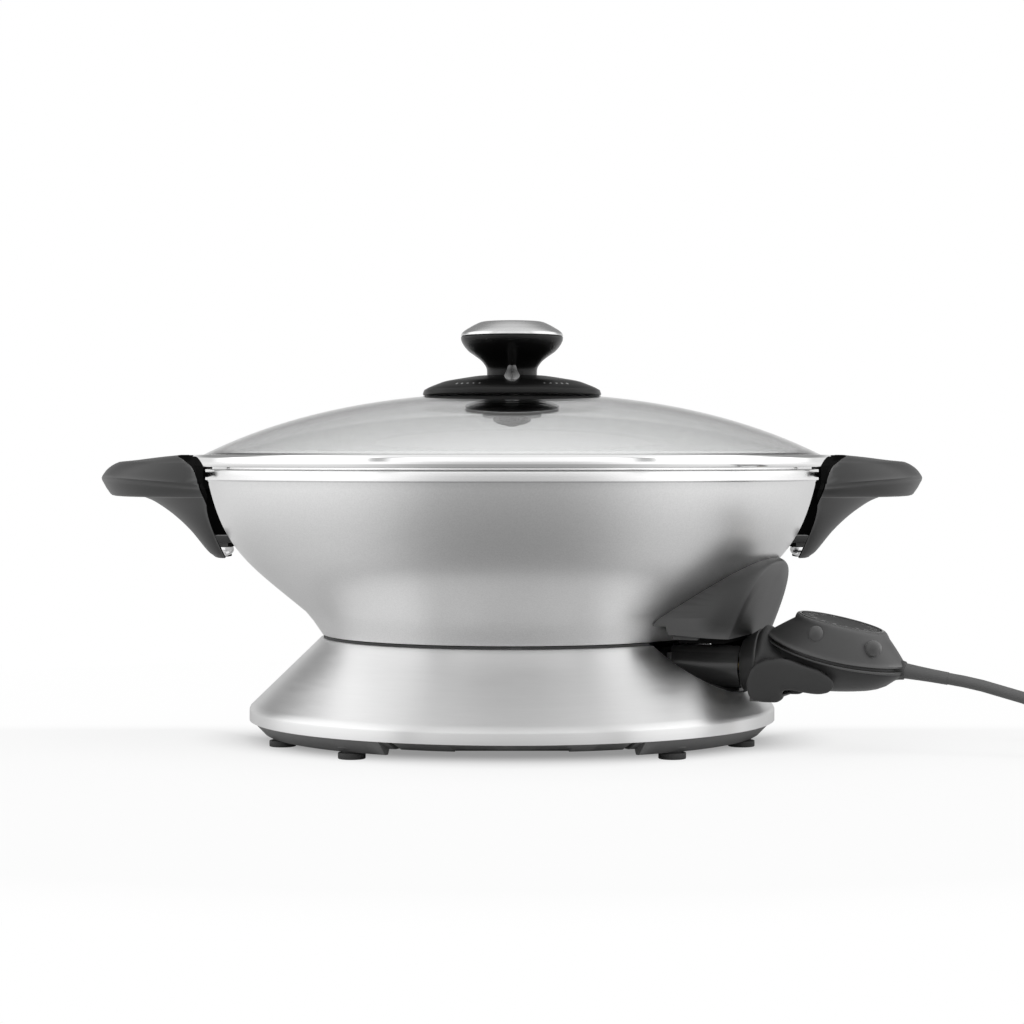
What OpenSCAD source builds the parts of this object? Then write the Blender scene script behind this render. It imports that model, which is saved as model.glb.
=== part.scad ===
// Electric wok on a brushed steel base, with a glass lid, wing handles and a pull-out temperature probe.
// Millimetres. +Z is up, +X to the right of the user, and -Y is the front. Z = 0 is the worktop.

/* [Base] */
// Radius of the steel skirt at its top edge
skirt_top_r = 110.2; // [108:0.1:113]
// Radius of the steel skirt's lower band
skirt_low_r = 151.4; // [148:0.1:158]
// Height of the skirt's top edge
skirt_top_z = 58.7; // [58:0.1:60]
// Height of the crease above the skirt's band
band_top_z = 18.9; // [17:0.1:20]
// Height of the skirt's lower edge
band_low_z = 11.9; // [11:0.1:13]
// Thickness of the skirt's steel sheet
sheet_t = 1.0; // [0.8:0.1:1.4]
// Radius of the opening that the bowl's belly hangs through
seat_r = 99; // [98:0.5:101]
// Half width of the notch that the probe passes through
notch_half_w = 47; // [44:0.5:49]
// Height of the notch's bottom
notch_low_z = 30.5; // [29.5:0.5:31.5]
// Underside of the moulded base plate
plate_low_z = 7; // [6:0.5:8]
// Thickness of the base plate
plate_t = 2.4; // [2:0.1:3]
// Radius of the circle that the feet stand on
foot_circle_r = 137; // [134:0.5:139]
// Radius of a rubber foot
foot_r = 7.5; // [6:0.5:9]

/* [Bowl] */
// Outside radius of the bowl's rim
rim_r = 177.8; // [176:0.1:180]
// Height of the bowl's rim
rim_z = 155.4; // [154:0.1:158]
// Height of the bright band below the rim
rim_band_h = 6.3; // [5:0.1:8]
// Wall of the cast bowl
bowl_t = 3.4; // [3:0.1:4.5]
// Outside radius of the bowl's foot ring
foot_ring_r = 109.5; // [107:0.5:110.5]
// Gap between the skirt's top and the bowl's foot ring
seat_gap = 1.8; // [1.5:0.1:2.5]
// Lowest point of the bowl's belly
belly_z = 52; // [51:0.5:53]
// Radius of the circle of the heating element
element_circle_r = 62; // [55:1:68]
// Radius of the heating element's tube
element_r = 4.2; // [3.5:0.1:4.5]

/* [Handles] */
// Furthest reach of a handle from the bowl's axis
handle_reach = 237.5; // [228:0.5:245]
// Half width of a handle at its widest line
handle_half_w = 77; // [70:1:80]
// Height of a handle's widest line
handle_crease_z = 147; // [146:0.5:148]
// Lowest point of a handle's keel
keel_z = 104.4; // [103:0.2:106]
// Top of a handle where it meets the rim saddle
handle_top_z = 163.6; // [162.5:0.2:166]

/* [Lid] */
// Outside radius of the lid's polished ring
ring_r = 184.4; // [183.5:0.1:185]
// Height of the lid ring
ring_h = 6.7; // [6:0.1:8]
// Gap between the bowl's rim and the lid ring
ring_gap = 1.5; // [1.2:0.1:2]
// Height of the glass at its centre
dome_z = 199.8; // [196:0.2:206]
// Thickness of the glass
glass_t = 4; // [3.5:0.1:4.5]
// Radius of the black vent collar
collar_r = 51.9; // [48:0.5:56]
// Greatest radius of the knob
knob_r = 29.6; // [27:0.2:32]
// Height of the knob above its collar
knob_h = 31.6; // [30:0.2:36]

/* [Probe] */
// Angle of the probe forward from the right-hand side
probe_turn = 20; // [18:1:21]
// Height of the probe socket's axis
socket_z = 44.7; // [44.5:0.1:45.2]
// Outside radius of the glossy socket shroud
shroud_r = 12.1; // [12:0.1:12.8]
// Distance of the probe's collar from the bowl's axis
probe_x = 139.5; // [139:0.5:141]
// Half width of the probe's housing
housing_half_w = 30.5; // [29:0.5:32]
// Radius of the temperature dial
dial_r = 22.4; // [21:0.2:22.8]
// Thickness of the temperature dial
dial_t = 3.2; // [2.6:0.2:4]
// Downward tilt of the dial's face, in degrees
dial_tilt = 13.1; // [12:0.1:14]
// Half width of the heat guard's outer end
guard_r = 47; // [45:0.5:48]
// Height of the heat guard's outer end
guard_h = 39.8; // [38:0.2:41]
// Wall of the moulded heat guard
guard_t = 2.6; // [2:0.1:3]

/* [Cord] */
// Diameter of the mains cord
cord_d = 6.5; // [6:0.1:6.8]
// Turns of the stored coil
coil_turns = 4.5; // [2.5:1:6.5]
// Radius of the coil's outer turn
coil_r = 42; // [40:1:46]
// Distance between turns that lie beside or on each other
coil_pitch = 7.1; // [7.1:0.1:7.6]

/* [Fits] */
// Radial clearance of a shaft or pin that turns or slides
run_fit = 0.06; // [0.03:0.01:0.1]
// Gap between pieces that lift or move apart
part_gap = 0.3; // [0.25:0.05:0.4]
// Gap between pieces that are fixed to each other
seat_fit = 0.05; // [0.02:0.01:0.1]

/* [Hidden] */

$fn = 96;
fine = 32;
overcut = 1;

// Colours as seen
steel = "silver";
cast = "darkgray";
moulded = "#3a3a3c";
gloss_black = "#1c1c1e";

// Base
band_h = band_top_z - band_low_z;
skirt_slope = (skirt_low_r - skirt_top_r) / (skirt_top_z - band_top_z);
plate_out_r = skirt_low_r - 1.9;
plate_in_r = skirt_low_r - 12.4;
plate_top_z = plate_low_z + plate_t;
plate_hole_r = 30;
front_turns = [-51, -129];
side_turns = [-20, -160];
back_turns = [55, 125];
foot_turns = concat(front_turns, side_turns, back_turns);
foot_h = 3.5;
foot_neck_r = 5.5;
pod_r = foot_r + 1;
pod_drop = 0.6;
screw_turns = [0, 35, 90, 145, 180, 215];
screw_circle_r = 131;
screw_r = 1.5;
screw_head_r = 3;
tab_z = 15;
tab_t = 1.2;

// Release paddle and latch
paddle_half_turn = 25;
slot_turn = 1.4;
paddle_in_r = 119;
paddle_travel = 5;
arm_w = 15;
arm_z = plate_top_z + part_gap;
arm_t = 2.6;
arm_bar_t = 2;
latch_t = 1.6;
latch_z = arm_z + arm_bar_t;
rivet_r = 1.6;
rivet_ys = [-34, -44];
spring_z = arm_z + arm_bar_t + 3;
spring_post_y = -86;
spring_lug_y = -103;
spring_r = 2.4;
stud_r = 4;
stud_head_r = 6;
keyhole_r = stud_head_r + 0.6;

// Bowl outline: one cubic curve for the wall and one for the belly
seat_z = skirt_top_z + seat_gap;
knee = [foot_ring_r + 9.7, seat_z + 13.2];
knee_slope = 0.83;
band_low = [rim_r - 2.6, rim_z - rim_band_h];
wall_curve = [
    knee,
    knee + 34.1 * [1, knee_slope],
    band_low - [9.1, 40.1],
    band_low
];
belly_curve = [
    [0, belly_z],
    [62, belly_z],
    knee - 20.2 * [1, knee_slope],
    knee
];
curve_steps = 12;
rim_in_r = rim_r - 4.6;
ledge_r = rim_r - 8.3;
ledge_z = rim_z - 2.9;
spigot_r = min(rim_in_r - 0.6, ring_r - 11.8);

// Handles
saddle_half_turn = 25;
// The lid's ring or the bowl's rim, whichever stands out further
brim_r = max(ring_r, rim_r + 3);
handle_in_r = brim_r + 4.9;
saddle_in_r = rim_r + seat_fit;
saddle_out_r = handle_in_r - 0.3;
saddle_low_z = rim_z - 5.6;
saddle_screw_z = rim_z - 2.9;
saddle_screw_turns = [-15, 15];
saddle_head_r = 2.6;
saddle_seat_r = saddle_in_r + 7;
lug_t = 4;
lug_z = keel_z + 8.6;
lug_w = 20;
stud_x = rim_r - 11.1;
handle_stud_r = 2.5;
nut_r = 5.5;
nut_h = 5.4;
tongue_t = 2.4;
wing_points = 22;
wing_inner_points = 8;

// Lid
ring_low_z = rim_z + ring_gap;
ring_top_z = ring_low_z + ring_h;
glass_r = ring_r - 6.9;
dome_drop = 27.35;
dome_turn = 8.62;
glass_hole_r = 17.9;
cup_r = glass_hole_r - 0.65;
cup_in_r = cup_r - 2.1;
hub_r = cup_in_r - seat_fit;
hub_in_r = hub_r - 2.6;
cup_low_z = dome_z - 15.3;
glass_fit = 0.12;
washer_r = 27;
washer_t = 2.4;
spindle_r = 3;
vent_hole_r = 2.2;
vent_circle_r = 9;
vent_holes = 3;
vent_half_turn = 45;
collar_top_z = dome_z + 9.6;
collar_low_z = dome_at(collar_r) + 0.4;
knob_low_z = collar_top_z - 1.9;
cap_z = collar_top_z + knob_h - 8.7;
cap_h = 8.7;
neck_r = 14.5;

// Probe: x runs outward from the bowl's axis, y across, in a frame turned by probe_turn
housing_a = 38.3;
housing_x = probe_x + 51.8;
seam_start_x = housing_x - housing_a;
seam_start_z = socket_z + 19.3;
seam_gap = 0.3;
dial_x = probe_x + 54.8;
dial_z = socket_z + 26.3;
dial_seat_r = dial_r + 0.9;
dial_hub_r = 5;
shaft_r = 3;
terminal_y = 6.6;
terminal_z = socket_z + 1.6;
terminal_x = element_circle_r + 21.8;
element_gap_turn = 7;
element_leg_r = 2.3;
bead_r = 3;
pin_r = 2;
sleeve_r = 3.1;
sensor_z = socket_z - 3.2;
sensor_r = 2.3;
well_r = 3.2;
shroud_t = 1.7;
shroud_x = 98;
shroud_end_x = probe_x - 1.6;
backplate_t = 2.5;
sleeve_end_x = probe_x + 36;
guard_low_z = skirt_top_z + 4.1;
guard_low_x = probe_x + 2.7;
guard_lean = 22.5;
guard_screw_x = probe_x - 22;
guard_screw_y = guard_r - 13;
guard_boss_r = 4;
// Sections of the guard from inside the bowl outwards: place, half width, height
guard_sections = [
    [guard_low_x - 52, guard_r + 11, guard_h + 5.6],
    [guard_low_x - 15, guard_r + 9.5, guard_h + 5],
    [guard_low_x - 5, guard_r + 5, guard_h + 3],
    [guard_low_x - 1.2, guard_r + 1.8, guard_h + 1.2],
    [guard_low_x, guard_r, guard_h]
];
trigger_in_w = 24;
trigger_out_w = 28.4;
trigger_pin_x = probe_x + 13.5;
trigger_pin_z = socket_z - 3;
trigger_pin_r = 1.5;
trigger_bar_t = 2.3;
trigger_bar_z = socket_z - 17;
neck_end_x = probe_x + 9.8;
neck_big_r = 17.8;
neck_big_z = socket_z + 3.9;

grip_stud_r = 4;
housing_t = 2.2;
// Middle of each round grip stud on the cover's near side
stud_places = [
    [housing_x - 8, -(housing_half_w - 1.6), socket_z + 17.3],
    [housing_x + 20, -(housing_half_w - 4.6), socket_z + 11.2]
];
trim_r = dial_seat_r + 0.6;
block_x = probe_x + 31.5;
block_size = [31, 18, 12];
screw_post = [housing_x + 21, 8];
post_head_z = socket_z - 8.2;
post_r = 3.4;
relief_r = 4.3;

// Cord, in the probe's frame
cord_r = cord_d / 2;
relief_start = [probe_x + 89.2, 0, socket_z + 0.4];
relief_end = [probe_x + 114, 0, socket_z - 3.4];
tie_floor = 0.6;
lay_z = cord_r + tie_floor;
coil_x = 372;
lead_route = [
    relief_end,
    [262, 0, 40],
    [272, 0, 38],
    [283, 0, 35.1],
    [294, 0, 32.2],
    [304, 0, 29],
    [314, 0, 25],
    [323, 0, 20.4],
    [332, 0, 15.3],
    [341, 0, 10],
    [349.5, 0, 6],
    [357, 0, 4.2],
    [361, 0, lay_z],
    [coil_x - cord_d, 0, lay_z]
];
lead_sides = 10;
coil_sides = 6;
coil_rings = 24;
coil_centre = [coil_x, coil_r];
coil_steps = coil_turns * coil_rings;
plug_z = lay_z + coil_pitch;
plug_x = coil_x - cord_d;
plug_y = 2 * coil_r;
plug_relief_l = 24;
plug_body_l = 32;
plug_half_w = 13;

// A point on a cubic curve, and the curve's unit normal to its left
function bez(p, t) =
    pow(1 - t, 3) * p[0] + 3 * pow(1 - t, 2) * t * p[1] + 3 * (1 - t) * t * t * p[2] + pow(t, 3) * p[3];
function bez_along(p, t) =
    3 * pow(1 - t, 2) * (p[1] - p[0]) + 6 * (1 - t) * t * (p[2] - p[1]) + 3 * t * t * (p[3] - p[2]);
function unit(v) = v / norm(v);
function bez_normal(p, t) = let (d = unit(bez_along(p, t))) [-d[1], d[0]];
function bez_offset(p, t, gap) = bez(p, t) + gap * bez_normal(p, t);

// The glass dome's outer height at a radius, and the belly's outside near a radius under 80 mm
function dome_at(r) = dome_z - dome_drop * pow(r / glass_r, 2) - dome_turn * pow(r / glass_r, 4);
function bowl_low_at(r) = belly_z + 5 * pow(r / 90, 3);
// The housing's seam and the dial's face, as heights at a distance from the bowl's axis
function seam_at(x) = let (d = x - seam_start_x) seam_start_z - 0.394 * d + 0.00213 * d * d;
function dial_face_at(x) = dial_z - (x - dial_x) * tan(dial_tilt);

// An oval ring in the probe's frame, with its height given by a plane or the seam
function seam_ring(x, a, b, drop) =
    [for (i = [0:31]) let (c = x + a * cos(i * 11.25)) [c, b * sin(i * 11.25), seam_at(c) - drop]];
function face_ring(x, a, b, drop) =
    [for (i = [0:31]) let (c = x + a * cos(i * 11.25)) [c, b * sin(i * 11.25), dial_face_at(c) - drop]];
function flat_ring(x, a, b, z) =
    [for (i = [0:31]) [x + a * cos(i * 11.25), b * sin(i * 11.25), z]];

// Faces that close a ring of n points, pairing each point with its mirror
function cap_faces(n, at, up) = [
    for (i = [0:n / 2 - 1])
        let (a = i, b = i + 1, c = (n - i - 1) % n, d = (n - i) % n)
            for (f = [[a, b, c], [a, c, d]])
                if (f[0] != f[1] && f[1] != f[2] && f[0] != f[2])
                    up ? [at + f[0], at + f[2], at + f[1]] : [at + f[0], at + f[1], at + f[2]]
];

// A solid through rings of points, each running anticlockwise from above, from the lowest up
module loft(rings) {
    n = len(rings[0]);
    top = len(rings) - 1;
    sides = [
        for (k = [0:top - 1], i = [0:n - 1])
            let (j = (i + 1) % n, a = k * n, b = (k + 1) * n)
                for (f = [[a + i, b + i, b + j], [a + i, b + j, a + j]]) f
    ];
    polyhedron(
        points = [for (r = rings, p = r) p],
        faces = concat(sides, cap_faces(n, 0, false), cap_faces(n, top * n, true)),
        convexity = 6
    );
}

// A round tube along points, its ends square to the first and last steps
function step_way(p, i) =
    i == 0 ? unit(p[1] - p[0])
    : i == len(p) - 1 ? unit(p[i] - p[i - 1])
    : unit(unit(p[i + 1] - p[i]) + unit(p[i] - p[i - 1]));
function tube_ring(centre, way, r, n) =
    let (side = unit(cross(way, [0, 0, 1])), up = cross(side, way))
        [for (k = [0:n - 1]) centre + r * (cos(k * 360 / n) * side + sin(k * 360 / n) * up)];

module tube_along(p, r, n) {
    last = len(p) - 1;
    walls = [
        for (k = [0:last - 1], i = [0:n - 1])
            let (j = (i + 1) % n, a = k * n, b = (k + 1) * n)
                for (f = [[a + i, b + j, b + i], [a + i, a + j, b + j]]) f
    ];
    start = [for (i = [1:n - 2]) [0, i + 1, i]];
    end = [for (i = [1:n - 2]) [last * n, last * n + i, last * n + i + 1]];
    polyhedron(
        points = [for (i = [0:last]) each tube_ring(p[i], step_way(p, i), r, n)],
        faces = concat(walls, start, end),
        convexity = 10
    );
}

// The coil winds in on the worktop, climbs a layer in half a turn, and winds out again on top
function coil_point(u) =
    let (
        r = coil_r - coil_pitch * min(u, coil_turns - u),
        climb = min(1, max(0, (u - coil_turns / 2) / 0.5 + 0.5)),
        a = -90 + 360 * u
    ) [coil_centre[0] + r * cos(a), coil_centre[1] + r * sin(a), lay_z + coil_pitch * climb];
coil_route = concat(
    [[coil_x - cord_d, 0, lay_z]],
    [for (i = [0:coil_steps]) coil_point(i / coil_rings)],
    [[plug_x, plug_y, plug_z]]
);
// The least space between the coil's own turns, measured between points over half a turn apart
coil_self_gap = min([
    for (i = [0:coil_steps], j = [i + coil_rings / 2:coil_steps])
        norm(coil_point(i / coil_rings) - coil_point(j / coil_rings))
]) - cord_d;

module at_probe() {
    rotate([0, 0, -probe_turn]) children();
}

// A cylinder lying along the probe's axis from x0 to x1
module bar_x(x0, x1, y, z, r) {
    translate([x0, y, z]) rotate([0, 90, 0]) cylinder(h = x1 - x0, r = r);
}

// The dial's own frame: origin at the centre of its face, z along its axis
module at_dial() {
    translate([dial_x, 0, dial_z]) rotate([0, dial_tilt, 0]) children();
}

// ---------------------------------------------------------------- base

function cone_r(z) = skirt_low_r - (z - band_top_z) * skirt_slope;

module notch_shape(grow) {
    half = notch_half_w + grow;
    depth = skirt_top_z - notch_low_z + grow;
    bow = 2 / 2.2;
    polygon(concat(
        [for (i = [0:24])
            let (t = 180 + i * 7.5, c = cos(t), s = sin(t))
                [half * sign(c) * pow(abs(c), bow), skirt_top_z + depth * sign(s) * pow(abs(s), bow)]],
        [[half, skirt_top_z + 20], [-half, skirt_top_z + 20]]
    ));
}

module notch_cut(grow) {
    at_probe() translate([60, 0, 0]) rotate([90, 0, 90]) linear_extrude(110) notch_shape(grow);
}

module base_skirt() {
    color(steel) difference() {
        union() {
            rotate_extrude($fn = 180) polygon([
                [skirt_low_r, band_low_z],
                [skirt_low_r, band_top_z - 0.6],
                [skirt_low_r - 0.5, band_top_z + 0.5],
                [skirt_top_r + 0.4, skirt_top_z - 0.4],
                [skirt_top_r - 0.4, skirt_top_z],
                [seat_r, skirt_top_z],
                [seat_r, skirt_top_z - sheet_t],
                [skirt_top_r - 1.2 * sheet_t, skirt_top_z - sheet_t],
                [skirt_low_r - 1.4 * sheet_t - 0.5, band_top_z + 0.3],
                [skirt_low_r - sheet_t, band_top_z - 1],
                [skirt_low_r - sheet_t, band_low_z]
            ]);
            for (t = screw_turns) rotate([0, 0, t]) difference() {
                translate([screw_circle_r - 6, -6, tab_z])
                    cube([skirt_low_r - screw_circle_r + 5.4, 12, tab_t]);
                translate([screw_circle_r, 0, tab_z - overcut])
                    cylinder(h = tab_t + 2 * overcut, r = screw_r + seat_fit, $fn = fine);
            }
        }
        notch_cut(0);
    }
}

// Black liner that closes the sides and floor of the notch
module notch_liner() {
    color(gloss_black) intersection() {
        difference() {
            notch_cut(-0.4);
            notch_cut(-2);
        }
        rotate_extrude($fn = 180) polygon([
            [seat_r + 4, skirt_top_z - 2],
            [cone_r(skirt_top_z - 2) - 1.2 * sheet_t - part_gap, skirt_top_z - 2],
            [cone_r(notch_low_z - 3) - 1.2 * sheet_t - part_gap, notch_low_z - 3],
            [seat_r + 4, notch_low_z - 3]
        ]);
    }
}

module front_sector(half, r0, r1, z0, z1) {
    rotate([0, 0, -90 - half]) rotate_extrude(angle = 2 * half, $fn = 180)
        translate([r0, z0]) square([r1 - r0, z1 - z0]);
}

module base_plate() {
    arm_room = arm_w / 2 + 0.5;
    color(moulded) difference() {
        union() {
            rotate_extrude($fn = 180) polygon([
                [plate_hole_r, plate_low_z],
                [plate_in_r, plate_low_z],
                [plate_out_r, band_low_z - 0.2],
                [plate_out_r, band_low_z + 1.8],
                [plate_out_r - plate_t, band_low_z + 1.8],
                [plate_out_r - plate_t, band_low_z + 0.8],
                [plate_in_r - 1.6, plate_top_z],
                [plate_hole_r, plate_top_z]
            ]);
            for (t = foot_turns) rotate([0, 0, t]) translate([foot_circle_r, 0, plate_low_z - pod_drop])
                cylinder(h = plate_t + 2 + pod_drop, r = pod_r);
            for (t = screw_turns) rotate([0, 0, t]) translate([screw_circle_r, 0, plate_low_z + overcut])
                cylinder(h = tab_z - plate_low_z - overcut - seat_fit, r = 4.5);
            // Rails beside the paddle's arm, with a bridge that holds the spring's fixed end
            for (s = [-1, 1]) translate([s * (arm_room + 1.5) - 1.5, -96, plate_low_z + 1])
                cube([3, 38, arm_z + arm_t - plate_low_z - 1]);
            difference() {
                translate([-arm_room - 3, spring_post_y, plate_low_z + 1])
                    cube([2 * arm_room + 6, 2, spring_z + 3 - plate_low_z - 1]);
                translate([-arm_room, spring_post_y - overcut, plate_low_z + 1])
                    cube([2 * arm_room, 2 + 2 * overcut, arm_z + arm_t - plate_low_z - 1]);
            }
        }
        front_sector(
            paddle_half_turn + slot_turn, paddle_in_r - part_gap - 0.5, plate_out_r + 3, plate_low_z - 1, 30
        );
        for (t = foot_turns) rotate([0, 0, t]) translate([foot_circle_r, 0, plate_low_z - overcut])
            cylinder(h = 3 + overcut, r = foot_neck_r + seat_fit);
        for (t = screw_turns) rotate([0, 0, t]) translate([screw_circle_r, 0, 0]) {
            translate([0, 0, plate_low_z - overcut]) cylinder(h = 20, r = screw_r + seat_fit, $fn = fine);
            translate([0, 0, plate_low_z - overcut])
                cylinder(h = overcut + 2, r = screw_head_r + 0.4, $fn = fine);
        }
        for (t = [0:30:330]) rotate([0, 0, t + 15]) translate([50, -3, plate_low_z - overcut])
            cube([45, 6, plate_t + 2 * overcut]);
    }
}

module base_feet() {
    color("#202020") for (t = foot_turns) rotate([0, 0, t]) translate([foot_circle_r, 0, 0])
        rotate_extrude() polygon([
            [0, 0],
            [foot_r - 0.6, 0],
            [foot_r, 0.6],
            [foot_r, foot_h - 0.6],
            [foot_r - 0.6, foot_h],
            [foot_neck_r, foot_h],
            [foot_neck_r, plate_low_z + 3 - seat_fit],
            [0, plate_low_z + 3 - seat_fit]
        ]);
}

module base_screws() {
    color("gray") for (t = screw_turns) rotate([0, 0, t]) translate([screw_circle_r, 0, 0]) {
        translate([0, 0, plate_low_z + 0.3]) cylinder(h = 1.7 - seat_fit, r = screw_head_r, $fn = fine);
        translate([0, 0, plate_low_z + 0.3])
            cylinder(h = tab_z + tab_t + 2 - plate_low_z, r = screw_r, $fn = fine);
    }
}

module seat_gasket() {
    color("#242424") difference() {
        rotate_extrude($fn = 180) translate([seat_r + 2.5, skirt_top_z])
            square([foot_ring_r - seat_r - 3.1, seat_gap - part_gap]);
        notch_cut(1);
    }
}

module release_paddle() {
    color(moulded) difference() {
        union() {
            intersection() {
                rotate_extrude($fn = 180) polygon([
                    [paddle_in_r, plate_low_z],
                    [plate_in_r, plate_low_z],
                    [plate_out_r, band_low_z - part_gap],
                    [paddle_in_r, band_low_z - part_gap]
                ]);
                front_sector(paddle_half_turn, paddle_in_r, plate_out_r + 5, 0, 30);
            }
            translate([-arm_w / 2, -paddle_in_r - 2, arm_z]) cube([arm_w, paddle_in_r - 22, arm_bar_t]);
            translate([-4, spring_lug_y - 2, arm_z]) cube([8, 2, spring_z + 3 - arm_z]);
        }
        for (y = rivet_ys) translate([0, y, arm_z - overcut])
            cylinder(h = arm_t + 2 * overcut, r = rivet_r + seat_fit, $fn = fine);
        // Finger hollow under the front edge
        translate([0, -plate_in_r - 1, plate_low_z - 17]) rotate([0, 90, 0])
            cylinder(h = 60, r = 19, center = true);
    }
}

// Steel plate whose keyhole lets the bowl's stud pass at rest and grips its neck when slid out
module latch_plate() {
    half_w = keyhole_r + 3.4;
    front_y = rivet_ys[1] - 6;
    color(steel) difference() {
        translate([-half_w, front_y, latch_z]) cube([2 * half_w, 2 * keyhole_r - 1.2 - front_y, latch_t]);
        cylinder(h = 40, r = keyhole_r);
        translate([0, keyhole_r + 1.2, 10]) cube([2 * stud_r + 0.8, 2 * keyhole_r + 2.4, 40], center = true);
        for (y = rivet_ys) translate([0, y, 0]) cylinder(h = 40, r = rivet_r + seat_fit, $fn = fine);
    }
}

module latch_rivets() {
    color(steel) for (y = rivet_ys) translate([0, y, 0]) {
        translate([0, 0, arm_z]) cylinder(h = arm_bar_t + latch_t, r = rivet_r, $fn = fine);
        translate([0, 0, latch_z + latch_t]) cylinder(h = 1.2, r = 3, $fn = fine);
    }
}

module release_spring() {
    color("gray") translate([0, spring_post_y - seat_fit, spring_z]) rotate([90, 0, 0]) difference() {
        cylinder(h = spring_post_y - spring_lug_y - 2 * seat_fit, r = spring_r, $fn = fine);
        translate([0, 0, -overcut]) cylinder(h = 30, r = spring_r - 0.8, $fn = fine);
    }
}

// ---------------------------------------------------------------- bowl

function bowl_outside() = concat(
    [for (i = [0:curve_steps]) bez(belly_curve, i / curve_steps * 0.78)],
    [[foot_ring_r - 6, seat_z]],
    [[foot_ring_r, seat_z]],
    [[foot_ring_r + 1, seat_z + 1.6]],
    [for (t = [0:30:60]) knee + [-8.7 + 4.4 * (t / 60), -11.6 + 6.4 * (t / 60)]],
    [for (i = [0:curve_steps]) bez(wall_curve, i / curve_steps)],
    [[rim_r, rim_z - 0.5]],
    [[rim_r - 0.5, rim_z]]
);
function bowl_inside() = concat(
    [[rim_in_r, rim_z]],
    [[rim_in_r, ledge_z]],
    [[ledge_r, ledge_z]],
    [for (i = [curve_steps:-1:0]) bez_offset(wall_curve, i / curve_steps, bowl_t)],
    [for (i = [curve_steps - 1:-1:0]) bez_offset(belly_curve, i / curve_steps, bowl_t)]
);

// The bowl's outer form as a solid, grown by a gap, to cut other pieces with
module bowl_form(gap) {
    rotate_extrude($fn = 180) polygon(concat(
        [for (i = [0:curve_steps]) bez_offset(belly_curve, i / curve_steps, -gap)],
        [for (i = [1:curve_steps]) bez_offset(wall_curve, i / curve_steps, -gap)],
        [[rim_r + gap, rim_z], [0, rim_z]]
    ));
    rotate_extrude($fn = 180) polygon([
        [foot_ring_r - 9, seat_z - gap],
        [foot_ring_r + gap, seat_z - gap],
        [foot_ring_r + 1 + gap, seat_z + 1.6],
        knee + [gap - 4.3, -5.2],
        knee + [gap, 0],
        knee - [14, 0]
    ]);
}

module wok_bowl() {
    boss_in = element_circle_r - 9;
    boss_out = element_circle_r + 9;
    color(cast) difference() {
        union() {
            rotate_extrude($fn = 180) polygon(concat(bowl_outside(), bowl_inside()));
            // Cast ring that holds the heating element
            rotate_extrude($fn = 180) polygon([
                [boss_in, socket_z + 0.6],
                [boss_out, socket_z + 0.6],
                [boss_out, bowl_low_at(boss_out) + 1.5],
                [boss_in, bowl_low_at(boss_in) + 1.5]
            ]);
            // Screw boss for the latch stud
            translate([0, 0, belly_z - 5]) cylinder(h = 7, r = 8);
            // Lugs that carry the handles
            difference() {
                for (s = [0, 180]) rotate([0, 0, s])
                    translate([stud_x - 12, -lug_w / 2, lug_z]) cube([21, lug_w, lug_t]);
                bowl_form(-1);
            }
            // Bosses that carry the heat guard
            at_probe() for (s = [-1, 1]) difference() {
                translate([guard_screw_x, s * guard_screw_y, guard_low_z + guard_t + seat_fit])
                    cylinder(h = 20, r = guard_boss_r);
                rotate([0, 0, probe_turn]) bowl_form(-1);
            }
        }
        // Groove for the element and a flat seat for the socket
        rotate_extrude($fn = 180) translate([element_circle_r, socket_z])
            circle(r = element_r + seat_fit, $fn = 48);
        at_probe() {
            translate([element_circle_r - 12, -14, socket_z - 15]) cube([40, 28, element_r + 15 + seat_fit]);
            for (s = [-1, 1]) translate([guard_screw_x, s * guard_screw_y, guard_low_z + guard_t - overcut])
                cylinder(h = 10, r = screw_r + seat_fit, $fn = fine);
        }
        for (s = [0, 180]) rotate([0, 0, s]) translate([stud_x, 0, lug_z - overcut])
            cylinder(h = lug_t - 1 + overcut, r = handle_stud_r + seat_fit, $fn = fine);
        translate([0, 0, belly_z - 6]) cylinder(h = 5, r = 2.5 + seat_fit, $fn = fine);
        for (s = [0, 180], t = saddle_screw_turns) rotate([0, 0, s + t])
            translate([rim_r - 3.4, 0, saddle_screw_z]) rotate([0, 90, 0])
                cylinder(h = 8, r = screw_r + seat_fit, $fn = fine);
    }
}

module heating_element() {
    color("dimgray") at_probe() {
        rotate([0, 0, element_gap_turn]) rotate_extrude(angle = 360 - 2 * element_gap_turn)
            translate([element_circle_r, socket_z]) circle(r = element_r, $fn = 48);
        for (s = [-1, 1])
            bar_x(element_circle_r - 1, terminal_x - 0.2, s * terminal_y, terminal_z, element_leg_r);
    }
}

module terminal_beads() {
    color("ivory") at_probe() for (s = [-1, 1]) difference() {
        bar_x(terminal_x + 0.2, shroud_x + 4, s * terminal_y, terminal_z, bead_r);
        bar_x(terminal_x - overcut, shroud_x + 5, s * terminal_y, terminal_z, pin_r + seat_fit);
    }
}

module terminal_pins() {
    color(steel) at_probe() for (s = [-1, 1])
        bar_x(terminal_x, shroud_end_x - 6, s * terminal_y, terminal_z, pin_r);
}

module sensor_well() {
    color("peru") at_probe() difference() {
        bar_x(element_circle_r - 6, shroud_end_x - 10, 0, sensor_z, well_r);
        bar_x(element_circle_r - 4, shroud_end_x, 0, sensor_z, sensor_r + run_fit);
    }
}

module socket_shroud() {
    color(gloss_black) at_probe() difference() {
        union() {
            bar_x(shroud_x, shroud_end_x, 0, socket_z, shroud_r);
            translate([shroud_x, -15, socket_z - 9]) cube([2.4, 30, 17]);
        }
        bar_x(shroud_x - 1, shroud_end_x + 1, 0, socket_z, shroud_r - shroud_t);
    }
}

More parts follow.
